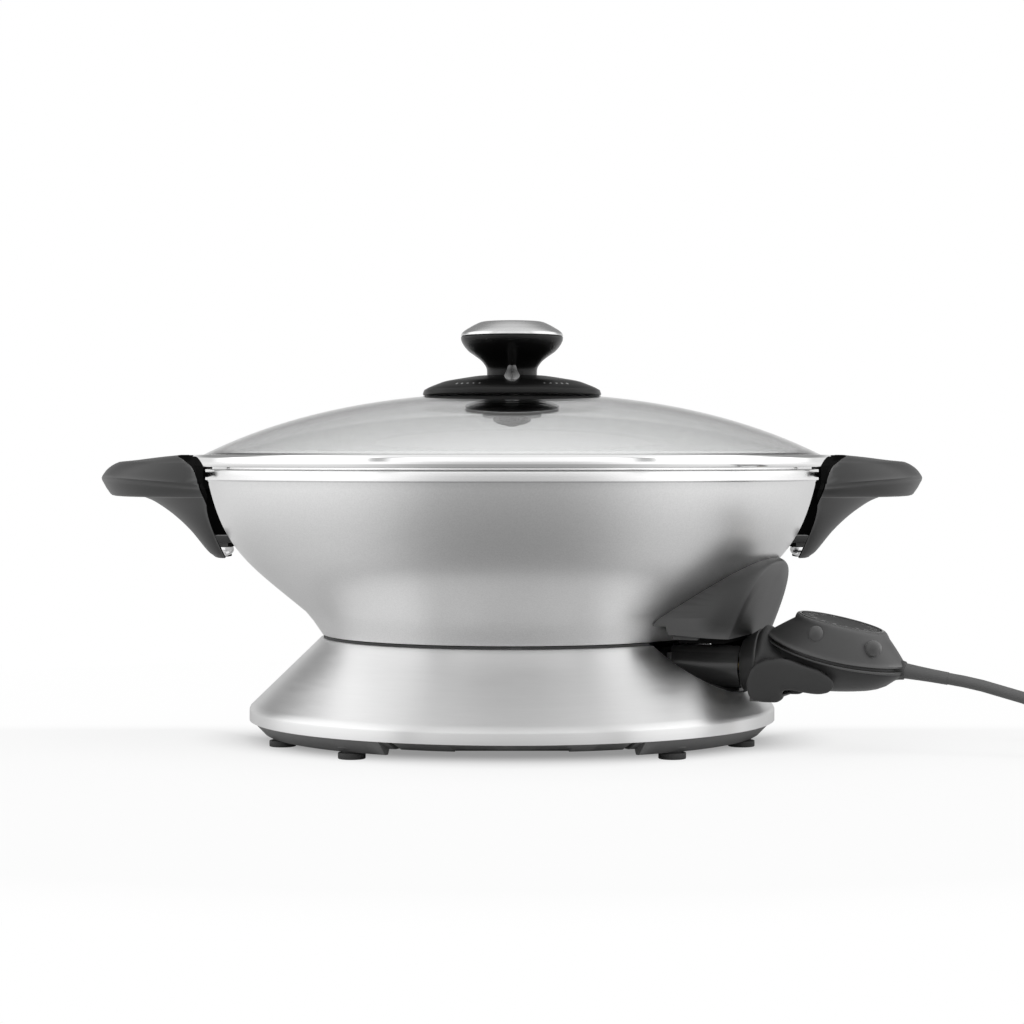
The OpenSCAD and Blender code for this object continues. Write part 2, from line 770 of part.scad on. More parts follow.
module socket_backplate() {
    color(gloss_black) at_probe() difference() {
        union() {
            translate([shroud_x - backplate_t - seat_fit, -20, socket_z - 13]) cube([backplate_t, 40, 24]);
            translate([shroud_x - 14, -12, socket_z + 8.2]) cube([14 - backplate_t, 24, 2.8]);
        }
        for (s = [-1, 1]) bar_x(shroud_x - 16, shroud_x + 3, s * terminal_y, terminal_z, bead_r + seat_fit);
        bar_x(shroud_x - 16, shroud_x + 3, 0, sensor_z, well_r + seat_fit);
    }
}

// Closed visor over the probe: an arched shell that flares towards the bowl, with a leaning end wall
function guard_ring(x, w, h, low) =
    [for (i = [0:24])
        let (c = cos(i * 7.5), s = sin(i * 7.5), up = low + (h - low) * pow(s, 0.77))
            [x + up * tan(guard_lean), w * sign(c) * pow(abs(c), 0.77), guard_low_z + up]];

module guard_form(in, low) {
    loft([for (g = guard_sections) guard_ring(g[0] - 1.1 * in, g[1] - in, g[2] - in, low)]);
}

module heat_guard() {
    tab_w = 14;
    tab_in_y = guard_screw_y - 6;
    tab_l = guard_sections[0][1] - tab_in_y;
    color(moulded) at_probe() difference() {
        union() {
            difference() {
                guard_form(0, 0);
                guard_form(guard_t, -overcut);
            }
            for (s = [-1, 1]) intersection() {
                guard_form(1, 0);
                translate([guard_screw_x - tab_w / 2, s > 0 ? tab_in_y : -tab_in_y - tab_l, guard_low_z])
                    cube([tab_w, tab_l, guard_t]);
            }
        }
        rotate([0, 0, probe_turn]) bowl_form(seat_fit);
        for (s = [-1, 1]) translate([guard_screw_x, s * guard_screw_y, guard_low_z - overcut])
            cylinder(h = guard_t + 2 * overcut, r = screw_r + seat_fit, $fn = fine);
    }
}

module guard_screws() {
    color("gray") at_probe() for (s = [-1, 1]) translate([guard_screw_x, s * guard_screw_y, guard_low_z]) {
        translate([0, 0, -1.6]) cylinder(h = 1.6, r = screw_head_r, $fn = fine);
        translate([0, 0, -0.5]) cylinder(h = guard_t + 7, r = screw_r, $fn = fine);
    }
}

module latch_stud() {
    head_z = latch_z - 3.2;
    color(steel) {
        translate([0, 0, head_z]) cylinder(h = 2.6, r1 = stud_head_r - 1.4, r2 = stud_head_r);
        translate([0, 0, head_z + 1]) cylinder(h = belly_z - 5 - head_z - 1, r = stud_r);
        translate([0, 0, belly_z - 6]) cylinder(h = 4.5, r = 2.5, $fn = fine);
    }
}

// ---------------------------------------------------------------- handles

// One level of a wing: outer oval from the inner arc round the tip, then back along the inner arc
function wing_level(z, share, half, inner) =
    let (
        root = sqrt(inner * inner - half * half),
        turn = asin(half / inner),
        tip = inner + share * (handle_reach - inner)
    )
        concat(
            [for (i = [0:wing_points])
                let (t = -90 + 180 * i / wing_points)
                    [root + (tip - root) * cos(t), half * sin(t), z]],
            [for (i = [1:wing_inner_points - 1])
                let (t = turn - 2 * turn * i / wing_inner_points)
                    [inner * cos(t), inner * sin(t), z]]
        );
function wing_inner_at(z) =
    z > saddle_low_z - 0.5 ? handle_in_r : handle_in_r - 2.3 - 0.476 * (saddle_low_z - z);

// Levels from the keel up: height, tip's place from the inner arc (0) to the handle's reach (1), half width
function wing_levels() =
    let (k = keel_z, c = handle_crease_z, t = handle_top_z, w = handle_half_w)
        [
            [k, 0.076, 0.23 * w],
            [k + 1, 0.098, 0.26 * w],
            [k + 3, 0.123, 0.29 * w],
            [k + 6.4, 0.146, 0.33 * w],
            [k + 15, 0.197, 0.44 * w],
            [k + 22, 0.265, 0.56 * w],
            [k + 27.6, 0.347, 0.68 * w],
            [k + 32.6, 0.452, 0.81 * w],
            [k + 35.2, 0.548, 0.88 * w],
            [k + 35.8, 0.855, 0.91 * w],
            [k + 38, 0.926, 0.95 * w],
            [c - 0.5, 0.989, w],
            [c + 2.4, 0.994, 0.995 * w],
            [t - 9.5, 0.925, 0.975 * w],
            [t - 6, 0.851, 0.955 * w],
            [t - 4, 0.78, 0.94 * w],
            [t - 2.9, 0.566, 0.92 * w],
            [t - 1.2, 0.278, 0.87 * w],
            [t, 0.035, 0.78 * w]
        ];

module wing_form() {
    levels = [for (l = wing_levels()) wing_level(l[0], l[1], l[2], wing_inner_at(l[0]))];
    n = len(levels[0]);
    top = len(levels) - 1;
    walls = [
        for (k = [0:top - 1], i = [0:n - 1])
            let (j = (i + 1) % n, a = k * n, b = (k + 1) * n)
                for (f = [[a + i, b + i, b + j], [a + i, b + j, a + j]]) f
    ];
    polyhedron(
        points = [for (l = levels, p = l) p],
        faces = concat(
            walls,
            [[for (i = [0:n - 1]) i]],
            [[for (i = [n - 1:-1:0]) top * n + i]]
        ),
        convexity = 6
    );
}

module handle() {
    nut_z = lug_z - seat_fit - tongue_t;
    difference() {
        union() {
            wing_form();
            translate([stud_x - 5, -9, nut_z]) cube([12, 18, tongue_t]);
        }
        translate([stud_x - 20, -lug_w / 2 - seat_fit, lug_z - seat_fit])
            cube([29 + 2 * seat_fit, lug_w + 2 * seat_fit, lug_t + 2 * seat_fit]);
        translate([stud_x, 0, nut_z - overcut]) cylinder(h = 10, r = handle_stud_r + seat_fit, $fn = fine);
        translate([stud_x, 0, keel_z - 5]) cylinder(h = nut_z - keel_z + 5, r = nut_r + 1);
        // Room round the bowl's wall
        bowl_form(0.5);
    }
}

module handle_right() {
    color(moulded) handle();
}

module handle_left() {
    color(moulded) rotate([0, 0, 180]) handle();
}

module rim_saddle() {
    lip_r = brim_r + 1.2;
    difference() {
        rotate([0, 0, -saddle_half_turn]) rotate_extrude(angle = 2 * saddle_half_turn, $fn = 180) polygon([
            [saddle_in_r, saddle_low_z],
            [saddle_out_r, saddle_low_z],
            [saddle_out_r, handle_top_z - 0.6],
            [saddle_out_r - 0.6, handle_top_z - 0.1],
            [lip_r + 0.4, handle_top_z - 0.1],
            [lip_r, handle_top_z - 0.6],
            [lip_r, rim_z + 0.5],
            [saddle_in_r, rim_z + 0.5]
        ]);
        // The lip runs down towards both ends
        for (s = [-1, 1]) rotate([0, 0, s * saddle_half_turn]) translate([lip_r, 0, rim_z + 1.4])
            rotate([s * 14, 0, 0]) translate([-10, s > 0 ? -60 : -20, 0]) cube([30, 80, 40]);
        for (t = saddle_screw_turns) rotate([0, 0, t]) {
            bar_x(saddle_in_r - 2, saddle_out_r + 2, 0, saddle_screw_z, screw_r + seat_fit);
            bar_x(saddle_seat_r, saddle_out_r + 2, 0, saddle_screw_z, saddle_head_r + seat_fit);
        }
    }
}

module rim_saddle_right() {
    color(gloss_black) rim_saddle();
}

module rim_saddle_left() {
    color(gloss_black) rotate([0, 0, 180]) rim_saddle();
}

module saddle_screws() {
    color("gray") for (s = [0, 180], t = saddle_screw_turns) rotate([0, 0, s + t]) {
        bar_x(rim_r - 3.2, saddle_seat_r + 1, 0, saddle_screw_z, screw_r);
        bar_x(saddle_seat_r + seat_fit, saddle_seat_r + 2, 0, saddle_screw_z, saddle_head_r);
    }
}

module handle_studs() {
    color(steel) for (s = [0, 180]) rotate([0, 0, s]) translate([stud_x, 0, lug_z - tongue_t - 4.4])
        cylinder(h = tongue_t + 4.4 + lug_t - 1.1, r = handle_stud_r, $fn = fine);
}

module cap_nuts() {
    nut_top = lug_z - tongue_t - 2 * seat_fit;
    color("white") for (s = [0, 180]) rotate([0, 0, s]) translate([stud_x, 0, nut_top]) difference() {
        rotate_extrude($fn = 48) polygon(concat(
            [[0, 0]],
            [[nut_r - 0.3, 0]],
            [[nut_r, -0.3]],
            [for (t = [0:15:90]) [nut_r * cos(t), -1.6 - (nut_h - 1.6) * sin(t)]]
        ));
        translate([0, 0, -4.6]) cylinder(h = 5, r = handle_stud_r + seat_fit, $fn = fine);
    }
}

// ---------------------------------------------------------------- lid

module lid_glass() {
    steps = 14;
    reach = (glass_r - glass_hole_r) / steps;
    color("lightblue", 0.4) rotate_extrude($fn = 180) polygon(concat(
        [for (i = [0:steps]) let (r = glass_hole_r + i * reach) [r, dome_at(r)]],
        [for (i = [steps:-1:0]) let (r = glass_hole_r + i * reach) [r, dome_at(r) - glass_t]]
    ));
}

module lid_rim() {
    groove_top = dome_at(glass_r) + glass_fit;
    groove_low = dome_at(glass_r) - glass_t - glass_fit;
    color(steel) rotate_extrude($fn = 180) polygon([
        [spigot_r, ledge_z + part_gap],
        [spigot_r, ring_low_z],
        [ring_r - 1.2, ring_low_z],
        [ring_r - 0.3, ring_low_z + 0.7],
        [ring_r, ring_low_z + ring_h / 2],
        [ring_r - 0.3, ring_top_z - 0.7],
        [ring_r - 1.2, ring_top_z],
        [glass_r + 1.2, ring_top_z + 0.3],
        [glass_r - 2, dome_at(glass_r - 2) + 0.9],
        [glass_r - 3.4, dome_at(glass_r - 3.4) + 0.5],
        [glass_r - 3.4, dome_at(glass_r - 3.4) + glass_fit],
        [glass_r + seat_fit, groove_top],
        [glass_r + seat_fit, groove_low],
        [spigot_r - 2.1, dome_at(spigot_r - 2.1) - glass_t - glass_fit],
        [spigot_r - 2.5, ring_low_z],
        [spigot_r - 2.5, ledge_z + part_gap]
    ]);
}

module vent_collar() {
    color(gloss_black) rotate_extrude() polygon([
        [hub_in_r, cup_low_z + 4.5],
        [hub_r, cup_low_z + 4.5],
        [hub_r, dome_z - glass_t - washer_t + 5.5],
        [hub_r, dome_at(hub_r) + 0.8],
        [cup_r + 3, dome_at(cup_r) + 0.8],
        [38, dome_at(38) + 4.2],
        [collar_r - 3, dome_at(collar_r - 3) + 1.4],
        [collar_r - 1.5, collar_low_z],
        [collar_r, collar_low_z + 0.5],
        [collar_r - 0.9, collar_low_z + 3.3],
        [collar_r - 4, collar_low_z + 5],
        [collar_r - 8.4, collar_low_z + 6.8],
        [collar_r - 13.3, collar_low_z + 8.5],
        [collar_r - 20.3, collar_top_z - 1.8],
        [neck_r + 5.5, collar_top_z],
        [neck_r + 1.1, collar_top_z],
        [neck_r + 1.1, collar_top_z - 3],
        [hub_in_r, collar_top_z - 3]
    ]);
}

module collar_gasket() {
    r0 = collar_r - 9.5;
    r1 = collar_r - 4;
    color("#202020") rotate_extrude() polygon([
        [r0, dome_at(r0) + 0.02],
        [r1, dome_at(r1) + 0.02],
        [r1, dome_at(r1) + 1.35],
        [r0, dome_at(r0) + 1.35]
    ]);
}

module lid_washer() {
    low = dome_at(washer_r) - glass_t - washer_t;
    color("#202020") rotate_extrude() polygon([
        [cup_r + seat_fit, low],
        [washer_r, low],
        [washer_r, dome_at(washer_r) - glass_t - seat_fit],
        [cup_r + seat_fit, dome_at(cup_r) - glass_t - seat_fit]
    ]);
}

module vent_cup() {
    washer_low = dome_at(washer_r) - glass_t - washer_t;
    color("dimgray") difference() {
        rotate_extrude() polygon([
            [0, cup_low_z],
            [11.5, cup_low_z],
            [12.2, cup_low_z + 0.8],
            [cup_r - 0.8, cup_low_z + 2],
            [cup_r, cup_low_z + 3],
            [cup_r + 4, washer_low - 1.8],
            [cup_r + 4, washer_low - seat_fit],
            [cup_r, washer_low - seat_fit],
            [cup_r, dome_at(cup_r) + 0.4],
            [cup_in_r, dome_at(cup_r) + 0.4],
            [cup_in_r, cup_low_z + 4.3],
            [vent_circle_r + vent_hole_r + 1.4, cup_low_z + 4.3],
            [vent_circle_r + vent_hole_r + 1.4, cup_low_z + 1.4],
            [0, cup_low_z + 1.4]
        ]);
        translate([0, 0, cup_low_z - overcut]) cylinder(h = 5, r = spindle_r + run_fit, $fn = fine);
        for (k = [0:vent_holes - 1]) rotate([0, 0, k * 360 / vent_holes])
            translate([vent_circle_r, 0, cup_low_z - overcut]) cylinder(h = 5, r = vent_hole_r, $fn = fine);
    }
}

module vent_shutter() {
    color("dimgray") translate([0, 0, cup_low_z + 1.4 + part_gap]) difference() {
        cylinder(h = 1.6, r = vent_circle_r + vent_hole_r + 0.9);
        translate([0, 0, -overcut]) cylinder(h = 5, r = spindle_r + seat_fit, $fn = fine);
        for (k = [0:vent_holes - 1]) rotate([0, 0, k * 360 / vent_holes + vent_half_turn])
            translate([vent_circle_r, 0, -overcut]) cylinder(h = 5, r = vent_hole_r, $fn = fine);
    }
}

module knob_spindle() {
    color(steel) {
        translate([0, 0, cup_low_z - 1]) cylinder(h = cap_z - 2 - cup_low_z + 1, r = spindle_r, $fn = fine);
        translate([0, 0, cup_low_z - part_gap]) rotate_extrude($fn = 48) polygon(concat(
            [[0, 0]],
            [for (t = [0:15:90]) [5.8 * cos(t), -0.6 - 3 * sin(t)]]
        ));
        translate([0, 0, cap_z - 5]) cylinder(h = 3, r = 6, $fn = fine);
    }
}

module lid_knob() {
    waist = collar_top_z;
    color(gloss_black) difference() {
        rotate_extrude() polygon([
            [0, knob_low_z],
            [neck_r, knob_low_z],
            [neck_r, waist + 3.6],
            [neck_r + 0.6, waist + 5.2],
            [neck_r + 1.7, waist + 6.9],
            [neck_r + 2.9, waist + 8.7],
            [neck_r + 4.9, waist + 10.4],
            [knob_r - 7.3, waist + 12.2],
            [knob_r - 4.9, waist + 13.9],
            [knob_r - 3.5, waist + 15.6],
            [knob_r - 1.8, waist + 17.4],
            [knob_r - 0.9, waist + 19.1],
            [knob_r, waist + 20.9],
            [knob_r, cap_z - seat_fit],
            [knob_r - 3, cap_z - seat_fit],
            [knob_r - 3, cap_z - 3],
            [0, cap_z - 3]
        ]);
        translate([0, 0, knob_low_z - overcut]) cylinder(h = 60, r = spindle_r + seat_fit, $fn = fine);
        translate([0, 0, cap_z - 5 - seat_fit]) cylinder(h = 60, r = 6 + seat_fit, $fn = fine);
        rotate_extrude() polygon([
            [8, knob_low_z - 1],
            [neck_r - 2.4, knob_low_z - 1],
            [neck_r - 2.4, waist + 6],
            [8, waist + 6]
        ]);
    }
}

module knob_cap() {
    color("white") rotate_extrude() polygon([
        [0, cap_z + cap_h],
        [knob_r - 11.9, cap_z + cap_h],
        [knob_r - 7.6, cap_z + cap_h - 2],
        [knob_r - 3.5, cap_z + cap_h - 3.8],
        [knob_r - 2.1, cap_z + cap_h - 5.5],
        [knob_r, cap_z + cap_h - 7.3],
        [knob_r, cap_z],
        [knob_r - 3.2, cap_z],
        [knob_r - 3.2, cap_z - 1.4],
        [knob_r - 5, cap_z - 1.4],
        [knob_r - 5, cap_z + 2],
        [knob_r - 9, cap_z + cap_h - 4.4],
        [0, cap_z + cap_h - 2.4]
    ]);
}

// Leaf-shaped pointer that lies from the knob's neck down over the collar
module knob_pointer() {
    drop = collar_top_z;
    color("gray") rotate([0, 0, -90]) intersection() {
        rotate([90, 0, 0]) linear_extrude(12, center = true) polygon([
            [neck_r + seat_fit, drop + part_gap],
            [neck_r + 5.6, drop + part_gap],
            [collar_r - 20.3, drop - 1.8 + part_gap],
            [collar_r - 13.3, collar_low_z + 8.5 + part_gap],
            [collar_r - 9, collar_low_z + 7.1 + part_gap],
            [collar_r - 9, collar_low_z + 8.2 + part_gap],
            [collar_r - 20.3, drop - 0.4],
            [neck_r + 6, drop + 1.8],
            [neck_r + 2, drop + 3.4],
            [neck_r + 1.6, drop + 5.4],
            [neck_r + 0.7, drop + 5.4],
            [neck_r + seat_fit, drop + 3.6]
        ]);
        translate([neck_r - 6, 0, drop - 10]) linear_extrude(30) polygon(concat(
            [for (i = [0:12]) [36 * i / 12, 4.5 * pow(sin(20 + 160 * i / 12), 0.6)]],
            [for (i = [12:-1:0]) [36 * i / 12, -4.5 * pow(sin(20 + 160 * i / 12), 0.6)]]
        ));
    }
}

// ---------------------------------------------------------------- probe

module cover_form(in) {
    loft([
        seam_ring(housing_x, housing_a - in, housing_half_w - in, in > 0 ? 1 : 0),
        seam_ring(housing_x + 0.1, housing_a + 0.1 - in, housing_half_w - in, -2.2),
        face_ring(dial_x + 0.3, dial_r + 3 - in, dial_r + 4 - in, 2.6 + in),
        face_ring(dial_x, dial_r + 1.4 - in, dial_r + 2.5 - in, in)
    ]);
}

module probe_cover() {
    color("#454547") at_probe() difference() {
        cover_form(0);
        difference() {
            cover_form(housing_t);
            for (s = [-1, 1]) translate([screw_post[0], s * screw_post[1], 0]) difference() {
                cylinder(h = 100, r = post_r, $fn = fine);
                cylinder(h = 100, r = 1.2 + seat_fit, $fn = fine);
            }
        }
        at_dial() translate([0, 0, -dial_t - 0.4]) cylinder(h = 20, r = trim_r + seat_fit);
        for (p = stud_places) translate(p) rotate([90, 0, 0])
            cylinder(h = 12, r = grip_stud_r + seat_fit, center = true, $fn = fine);
        cord_exit(relief_r + seat_fit);
    }
}

module grip_studs() {
    color("#555557") at_probe() for (p = stud_places) translate(p) rotate([90, 0, 0]) {
        translate([0, 0, -3]) cylinder(h = 5, r = grip_stud_r, $fn = fine);
        translate([0, 0, 2]) cylinder(h = 0.8, r1 = grip_stud_r, r2 = grip_stud_r - 1, $fn = fine);
    }
}

// Lower shell: a shallow tub whose rim flares out under the cover; its inside goes straight up
module base_form(in) {
    tub = [
        flat_ring(housing_x + 0.7, 14 - in / 2, 9 - in / 2, socket_z - 11.5 + in),
        flat_ring(housing_x + 0.2, 23 - in, 15.5 - in, socket_z - 10.3 + in),
        flat_ring(housing_x + 0.7, 31.3 - in, 21 - in, socket_z - 5.8 + in / 2),
        seam_ring(housing_x + 1, housing_a - 2.1 - in, 22.6 - in, 4.6)
    ];
    rim = [
        seam_ring(housing_x + 1, housing_a - 1.7, 22.6, 3.4),
        seam_ring(housing_x + 0.2, housing_a - 0.4, housing_half_w - 0.4, 2.8),
        seam_ring(housing_x, housing_a, housing_half_w, 2.2),
        seam_ring(housing_x, housing_a - 0.8, housing_half_w - 0.8, seam_gap)
    ];
    loft(concat(tub, in > 0 ? [seam_ring(housing_x + 1, housing_a - 1.7 - in, 22.6 - in, -1)] : rim));
}

module neck_form() {
    hull() {
        bar_x(neck_end_x + 0.1, neck_end_x + 1.2, 0, neck_big_z, neck_big_r);
        bar_x(neck_end_x + 2.8, neck_end_x + 3.8, 0, neck_big_z + 2.4, neck_big_r - 0.2);
        bar_x(neck_end_x + 14, neck_end_x + 15, 0, socket_z + 3, 14);
    }
}

module probe_base() {
    color(moulded) at_probe() difference() {
        union() {
            base_form(0);
            neck_form();
            // Bosses that carry the trigger's pins
            for (s = [-1, 1]) translate([trigger_pin_x, s > 0 ? trigger_in_w - part_gap : -13, trigger_pin_z])
                rotate([90, 0, 0]) cylinder(h = trigger_in_w - part_gap - 13, r = 3.6, $fn = fine);
        }
        difference() {
            base_form(housing_t);
            for (s = [-1, 1]) translate([screw_post[0], s * screw_post[1], 0])
                cylinder(h = seam_at(screw_post[0]) - seam_gap, r = post_r, $fn = fine);
        }
        // Bore for the contacts and the rod, which reach into the housing
        bar_x(neck_end_x - 5, neck_end_x + 22, 0, socket_z, shroud_r - shroud_t);
        trigger_bore(trigger_pin_r + seat_fit);
        cover_form(-seat_fit);
        cord_exit(relief_r + seat_fit);
        for (s = [-1, 1]) translate([screw_post[0], s * screw_post[1], 0]) {
            cylinder(h = post_head_z + 2, r = 2.6 + seat_fit, $fn = fine);
            cylinder(h = socket_z + 20, r = 1.2 + seat_fit, $fn = fine);
        }
    }
}

// Round hole for the strain relief at the housing's end
module cord_exit(r) {
    way = unit(relief_end - relief_start);
    translate(relief_start - way * 4) rotate([0, 90 + asin(-way[2]), 0]) cylinder(h = 30, r = r, $fn = fine);
}

module trigger_bore(r) {
    translate([trigger_pin_x, 0, trigger_pin_z]) rotate([90, 0, 0])
        cylinder(h = 80, r = r, center = true, $fn = fine);
}

module probe_neck() {
    color(moulded) at_probe() difference() {
        hull() {
            bar_x(probe_x, probe_x + 1, 0, socket_z + 0.8, 14.8);
            bar_x(neck_end_x - 2, neck_end_x, 0, neck_big_z, neck_big_r);
        }
        bar_x(probe_x - 1, neck_end_x + 1, 0, socket_z, shroud_r - shroud_t);
        rotate([0, 0, probe_turn]) rotate_extrude($fn = 180) polygon([
            [0, 0],
            [skirt_low_r + 0.8, 0],
            [skirt_low_r + 0.8, band_top_z],
            [skirt_top_r + 0.8, skirt_top_z],
            [0, skirt_top_z]
        ]);
    }
}

module contact_sleeves() {
    color("gold") at_probe() for (s = [-1, 1]) difference() {
        bar_x(shroud_x + 14, sleeve_end_x, s * terminal_y, terminal_z, sleeve_r);
        bar_x(shroud_x + 13, shroud_end_x - 4, s * terminal_y, terminal_z, pin_r + run_fit);
    }
}

module sensor_rod() {
    color(steel) at_probe() bar_x(element_circle_r - 3, sleeve_end_x, 0, sensor_z, sensor_r);
}

module thermostat_block() {
    color("tan") at_probe() difference() {
        translate([block_x, -block_size[1] / 2, socket_z - block_size[2] / 2]) cube(block_size);
        for (s = [-1, 1])
            bar_x(block_x - 1, sleeve_end_x + seat_fit, s * terminal_y, terminal_z, sleeve_r + seat_fit);
        bar_x(block_x - 1, sleeve_end_x + seat_fit, 0, sensor_z, sensor_r + seat_fit);
        at_dial() translate([0, 0, -60]) cylinder(h = 80, r = shaft_r + run_fit);
    }
}

module dial_trim() {
    color("white") at_probe() at_dial() difference() {
        translate([0, 0, -dial_t]) cylinder(h = dial_t + 0.4, r = trim_r);
        translate([0, 0, -dial_t - overcut]) cylinder(h = dial_t + 3, r = dial_r + part_gap);
    }
}

module probe_screws() {
    color("gray") at_probe() for (s = [-1, 1]) translate([screw_post[0], s * screw_post[1], 0]) {
        translate([0, 0, post_head_z + seat_fit]) cylinder(h = 1.8, r = 2.6, $fn = fine);
        translate([0, 0, post_head_z + seat_fit]) cylinder(h = 14, r = 1.2, $fn = fine);
    }
}

module strain_relief() {
    way = relief_end - relief_start;
    color("#303032") at_probe() translate(relief_start) rotate([0, 90 + asin(-unit(way)[2]), 0])
        rotate_extrude($fn = 48) polygon([
            [0, -3.5],
            [relief_r, -3.5],
            [relief_r, 2],
            [cord_r + 0.25, norm(way)],
            [0, norm(way)]
        ]);
}

// ---------------------------------------------------------------- cord

module cord_lead() {
    color("#3c3c3e") at_probe() tube_along(lead_route, cord_r, lead_sides);
}

module cord_coil() {
    echo(str("least gap between the coil's turns: ", coil_self_gap, " mm"));
    color("#3c3c3e") at_probe() tube_along(coil_route, cord_r, coil_sides);
}

module coil_tie() {
    mid_r = coil_r - 0.75 * coil_pitch - coil_pitch * (coil_turns - 1.5) / 4 * 0.667;
    half_r = coil_pitch / 2 + cord_r + 0.5;
    tall = coil_pitch + cord_d;
    color("#252527") at_probe() translate([coil_centre[0] - mid_r, coil_centre[1], 0])
        rotate([90, 0, 0]) linear_extrude(7, center = true) difference() {
            translate([-half_r - 0.9, 0]) square([2 * half_r + 1.8, tall + tie_floor + 1.2]);
            translate([-half_r, tie_floor - 0.15]) square([2 * half_r, tall + 0.4]);
        }
}

module plug_body() {
    color("#2c2c2e") at_probe() translate([plug_x, plug_y, plug_z]) rotate([0, 0, 180]) {
        rotate([0, 90, 0]) cylinder(h = plug_relief_l, r1 = cord_r + 0.4, r2 = 6);
        hull() {
            translate([plug_relief_l - 2, 0, 0]) rotate([0, 90, 0]) cylinder(h = 1, r = 7, $fn = fine);
            for (s = [-1, 1], x = [plug_relief_l + 12, plug_relief_l + plug_body_l - 1])
                translate([x, s * (plug_half_w - plug_z), 0]) rotate([0, 90, 0])
                    cylinder(h = 1, r = plug_z, $fn = fine);
        }
    }
}

module plug_pins() {
    face_x = plug_relief_l + plug_body_l;
    color("gold") at_probe() translate([plug_x, plug_y, plug_z]) rotate([0, 0, 180]) {
        for (s = [-1, 1]) translate([face_x + seat_fit, s * 6.35 - 0.75, -1]) cube([17, 1.5, 6.3]);
        translate([face_x + seat_fit, 0, -6.5]) rotate([0, 90, 0]) cylinder(h = 19, r = 2.4, $fn = fine);
    }
}

// ---------------------------------------------------------------- dial and trigger

module temperature_dial() {
    color("#161618") at_probe() at_dial() difference() {
        union() {
            translate([0, 0, -dial_t + 0.2]) cylinder(h = dial_t - 0.6, r = dial_r);
            translate([0, 0, -0.4]) cylinder(h = 0.6, r1 = dial_r, r2 = dial_r - 0.6);
        }
        translate([0, 0, -dial_t - 1]) cylinder(h = dial_t, r = shaft_r + seat_fit);
    }
}

module dial_shaft() {
    color(steel) at_probe() at_dial() translate([0, 0, -20]) cylinder(h = 19 - seat_fit, r = shaft_r);
}

module release_trigger() {
    color(moulded) at_probe() difference() {
        union() {
            for (s = [-1, 1]) translate([0, s > 0 ? trigger_out_w : -trigger_in_w, 0])
                rotate([90, 0, 0]) linear_extrude(trigger_out_w - trigger_in_w) trigger_profile();
            intersection() {
                rotate([90, 0, 0]) linear_extrude(2 * trigger_out_w - 1, center = true) trigger_profile();
                translate([probe_x + 6.5, -trigger_out_w, trigger_bar_z])
                    cube([13.4, 2 * trigger_out_w, trigger_bar_t]);
            }
        }
        trigger_bore(trigger_pin_r + run_fit);
    }
}

// Side view of the trigger: a thumb lobe behind, and a hook below
module trigger_profile() {
    x = probe_x;
    z = socket_z;
    polygon([
        [x + 56.3, z - 5.2],
        [x + 54.2, z - 2.1],
        [x + 48.3, z + 1.9],
        [x + 39.8, z + 4.6],
        [x + 32.4, z + 7.2],
        [x + 26, z + 8.3],
        [x + 18.4, z + 7.3],
        [x + 13, z + 5.1],
        [x + 9.2, z + 0.8],
        [x + 7.3, z - 5.6],
        [x + 8.1, z - 11.9],
        [x + 9.8, z - 15.5],
        [x + 15.1, z - 17],
        [x + 24.8, z - 17],
        [x + 28.1, z - 14.9],
        [x + 29.2, z - 12.5],
        [x + 26.8, z - 10.8],
        [x + 28.6, z - 10],
        [x + 33.4, z - 9.8],
        [x + 39.8, z - 11.1],
        [x + 47.2, z - 11.9],
        [x + 52.6, z - 11],
        [x + 55.8, z - 8.3]
    ]);
}

module trigger_pin() {
    color(steel) at_probe() for (s = [-1, 1])
        translate([trigger_pin_x, s > 0 ? trigger_out_w - 0.5 : -12, trigger_pin_z])
            rotate([90, 0, 0]) cylinder(h = trigger_out_w - 12.5, r = trigger_pin_r, $fn = fine);
}

module trigger_spring() {
    color("gray") at_probe() translate([probe_x + 17.6, 0, trigger_bar_z + trigger_bar_t]) difference() {
        cylinder(h = 1.7, r = 2, $fn = fine);
        translate([0, 0, -overcut]) cylinder(h = 5, r = 1.2, $fn = fine);
    }
}

base_skirt();
notch_liner();
base_plate();
base_feet();
base_screws();
seat_gasket();
release_paddle();
latch_plate();
latch_rivets();
release_spring();
wok_bowl();
heating_element();
terminal_pins();
terminal_beads();
sensor_well();
socket_shroud();
socket_backplate();
heat_guard();
guard_screws();
latch_stud();
handle_left();
handle_right();
rim_saddle_left();
rim_saddle_right();
saddle_screws();
handle_studs();
cap_nuts();
lid_glass();
lid_rim();
vent_collar();
collar_gasket();
lid_washer();
vent_cup();
lid_knob();
knob_cap();
knob_pointer();
knob_spindle();
vent_shutter();
probe_cover();
probe_base();
probe_neck();
sensor_rod();
contact_sleeves();
thermostat_block();
grip_studs();
dial_trim();
probe_screws();
strain_relief();
cord_lead();
cord_coil();
coil_tie();
plug_body();
plug_pins();
temperature_dial();
dial_shaft();
release_trigger();
trigger_pin();
trigger_spring();
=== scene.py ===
"""Looks of an electric wok: a cast bowl with wing handles, a glass lid, a brushed steel base and a corded probe.

Lengths in the outlines and tables are millimetres, and MM turns them into the scene's metres. Z is up, the bowl's
axis is the Z axis, the worktop is Z = 0 and the front is -Y. The probe's own frame has x along the probe.
"""

import math

import bmesh
import bpy
from mathutils import Matrix, Vector


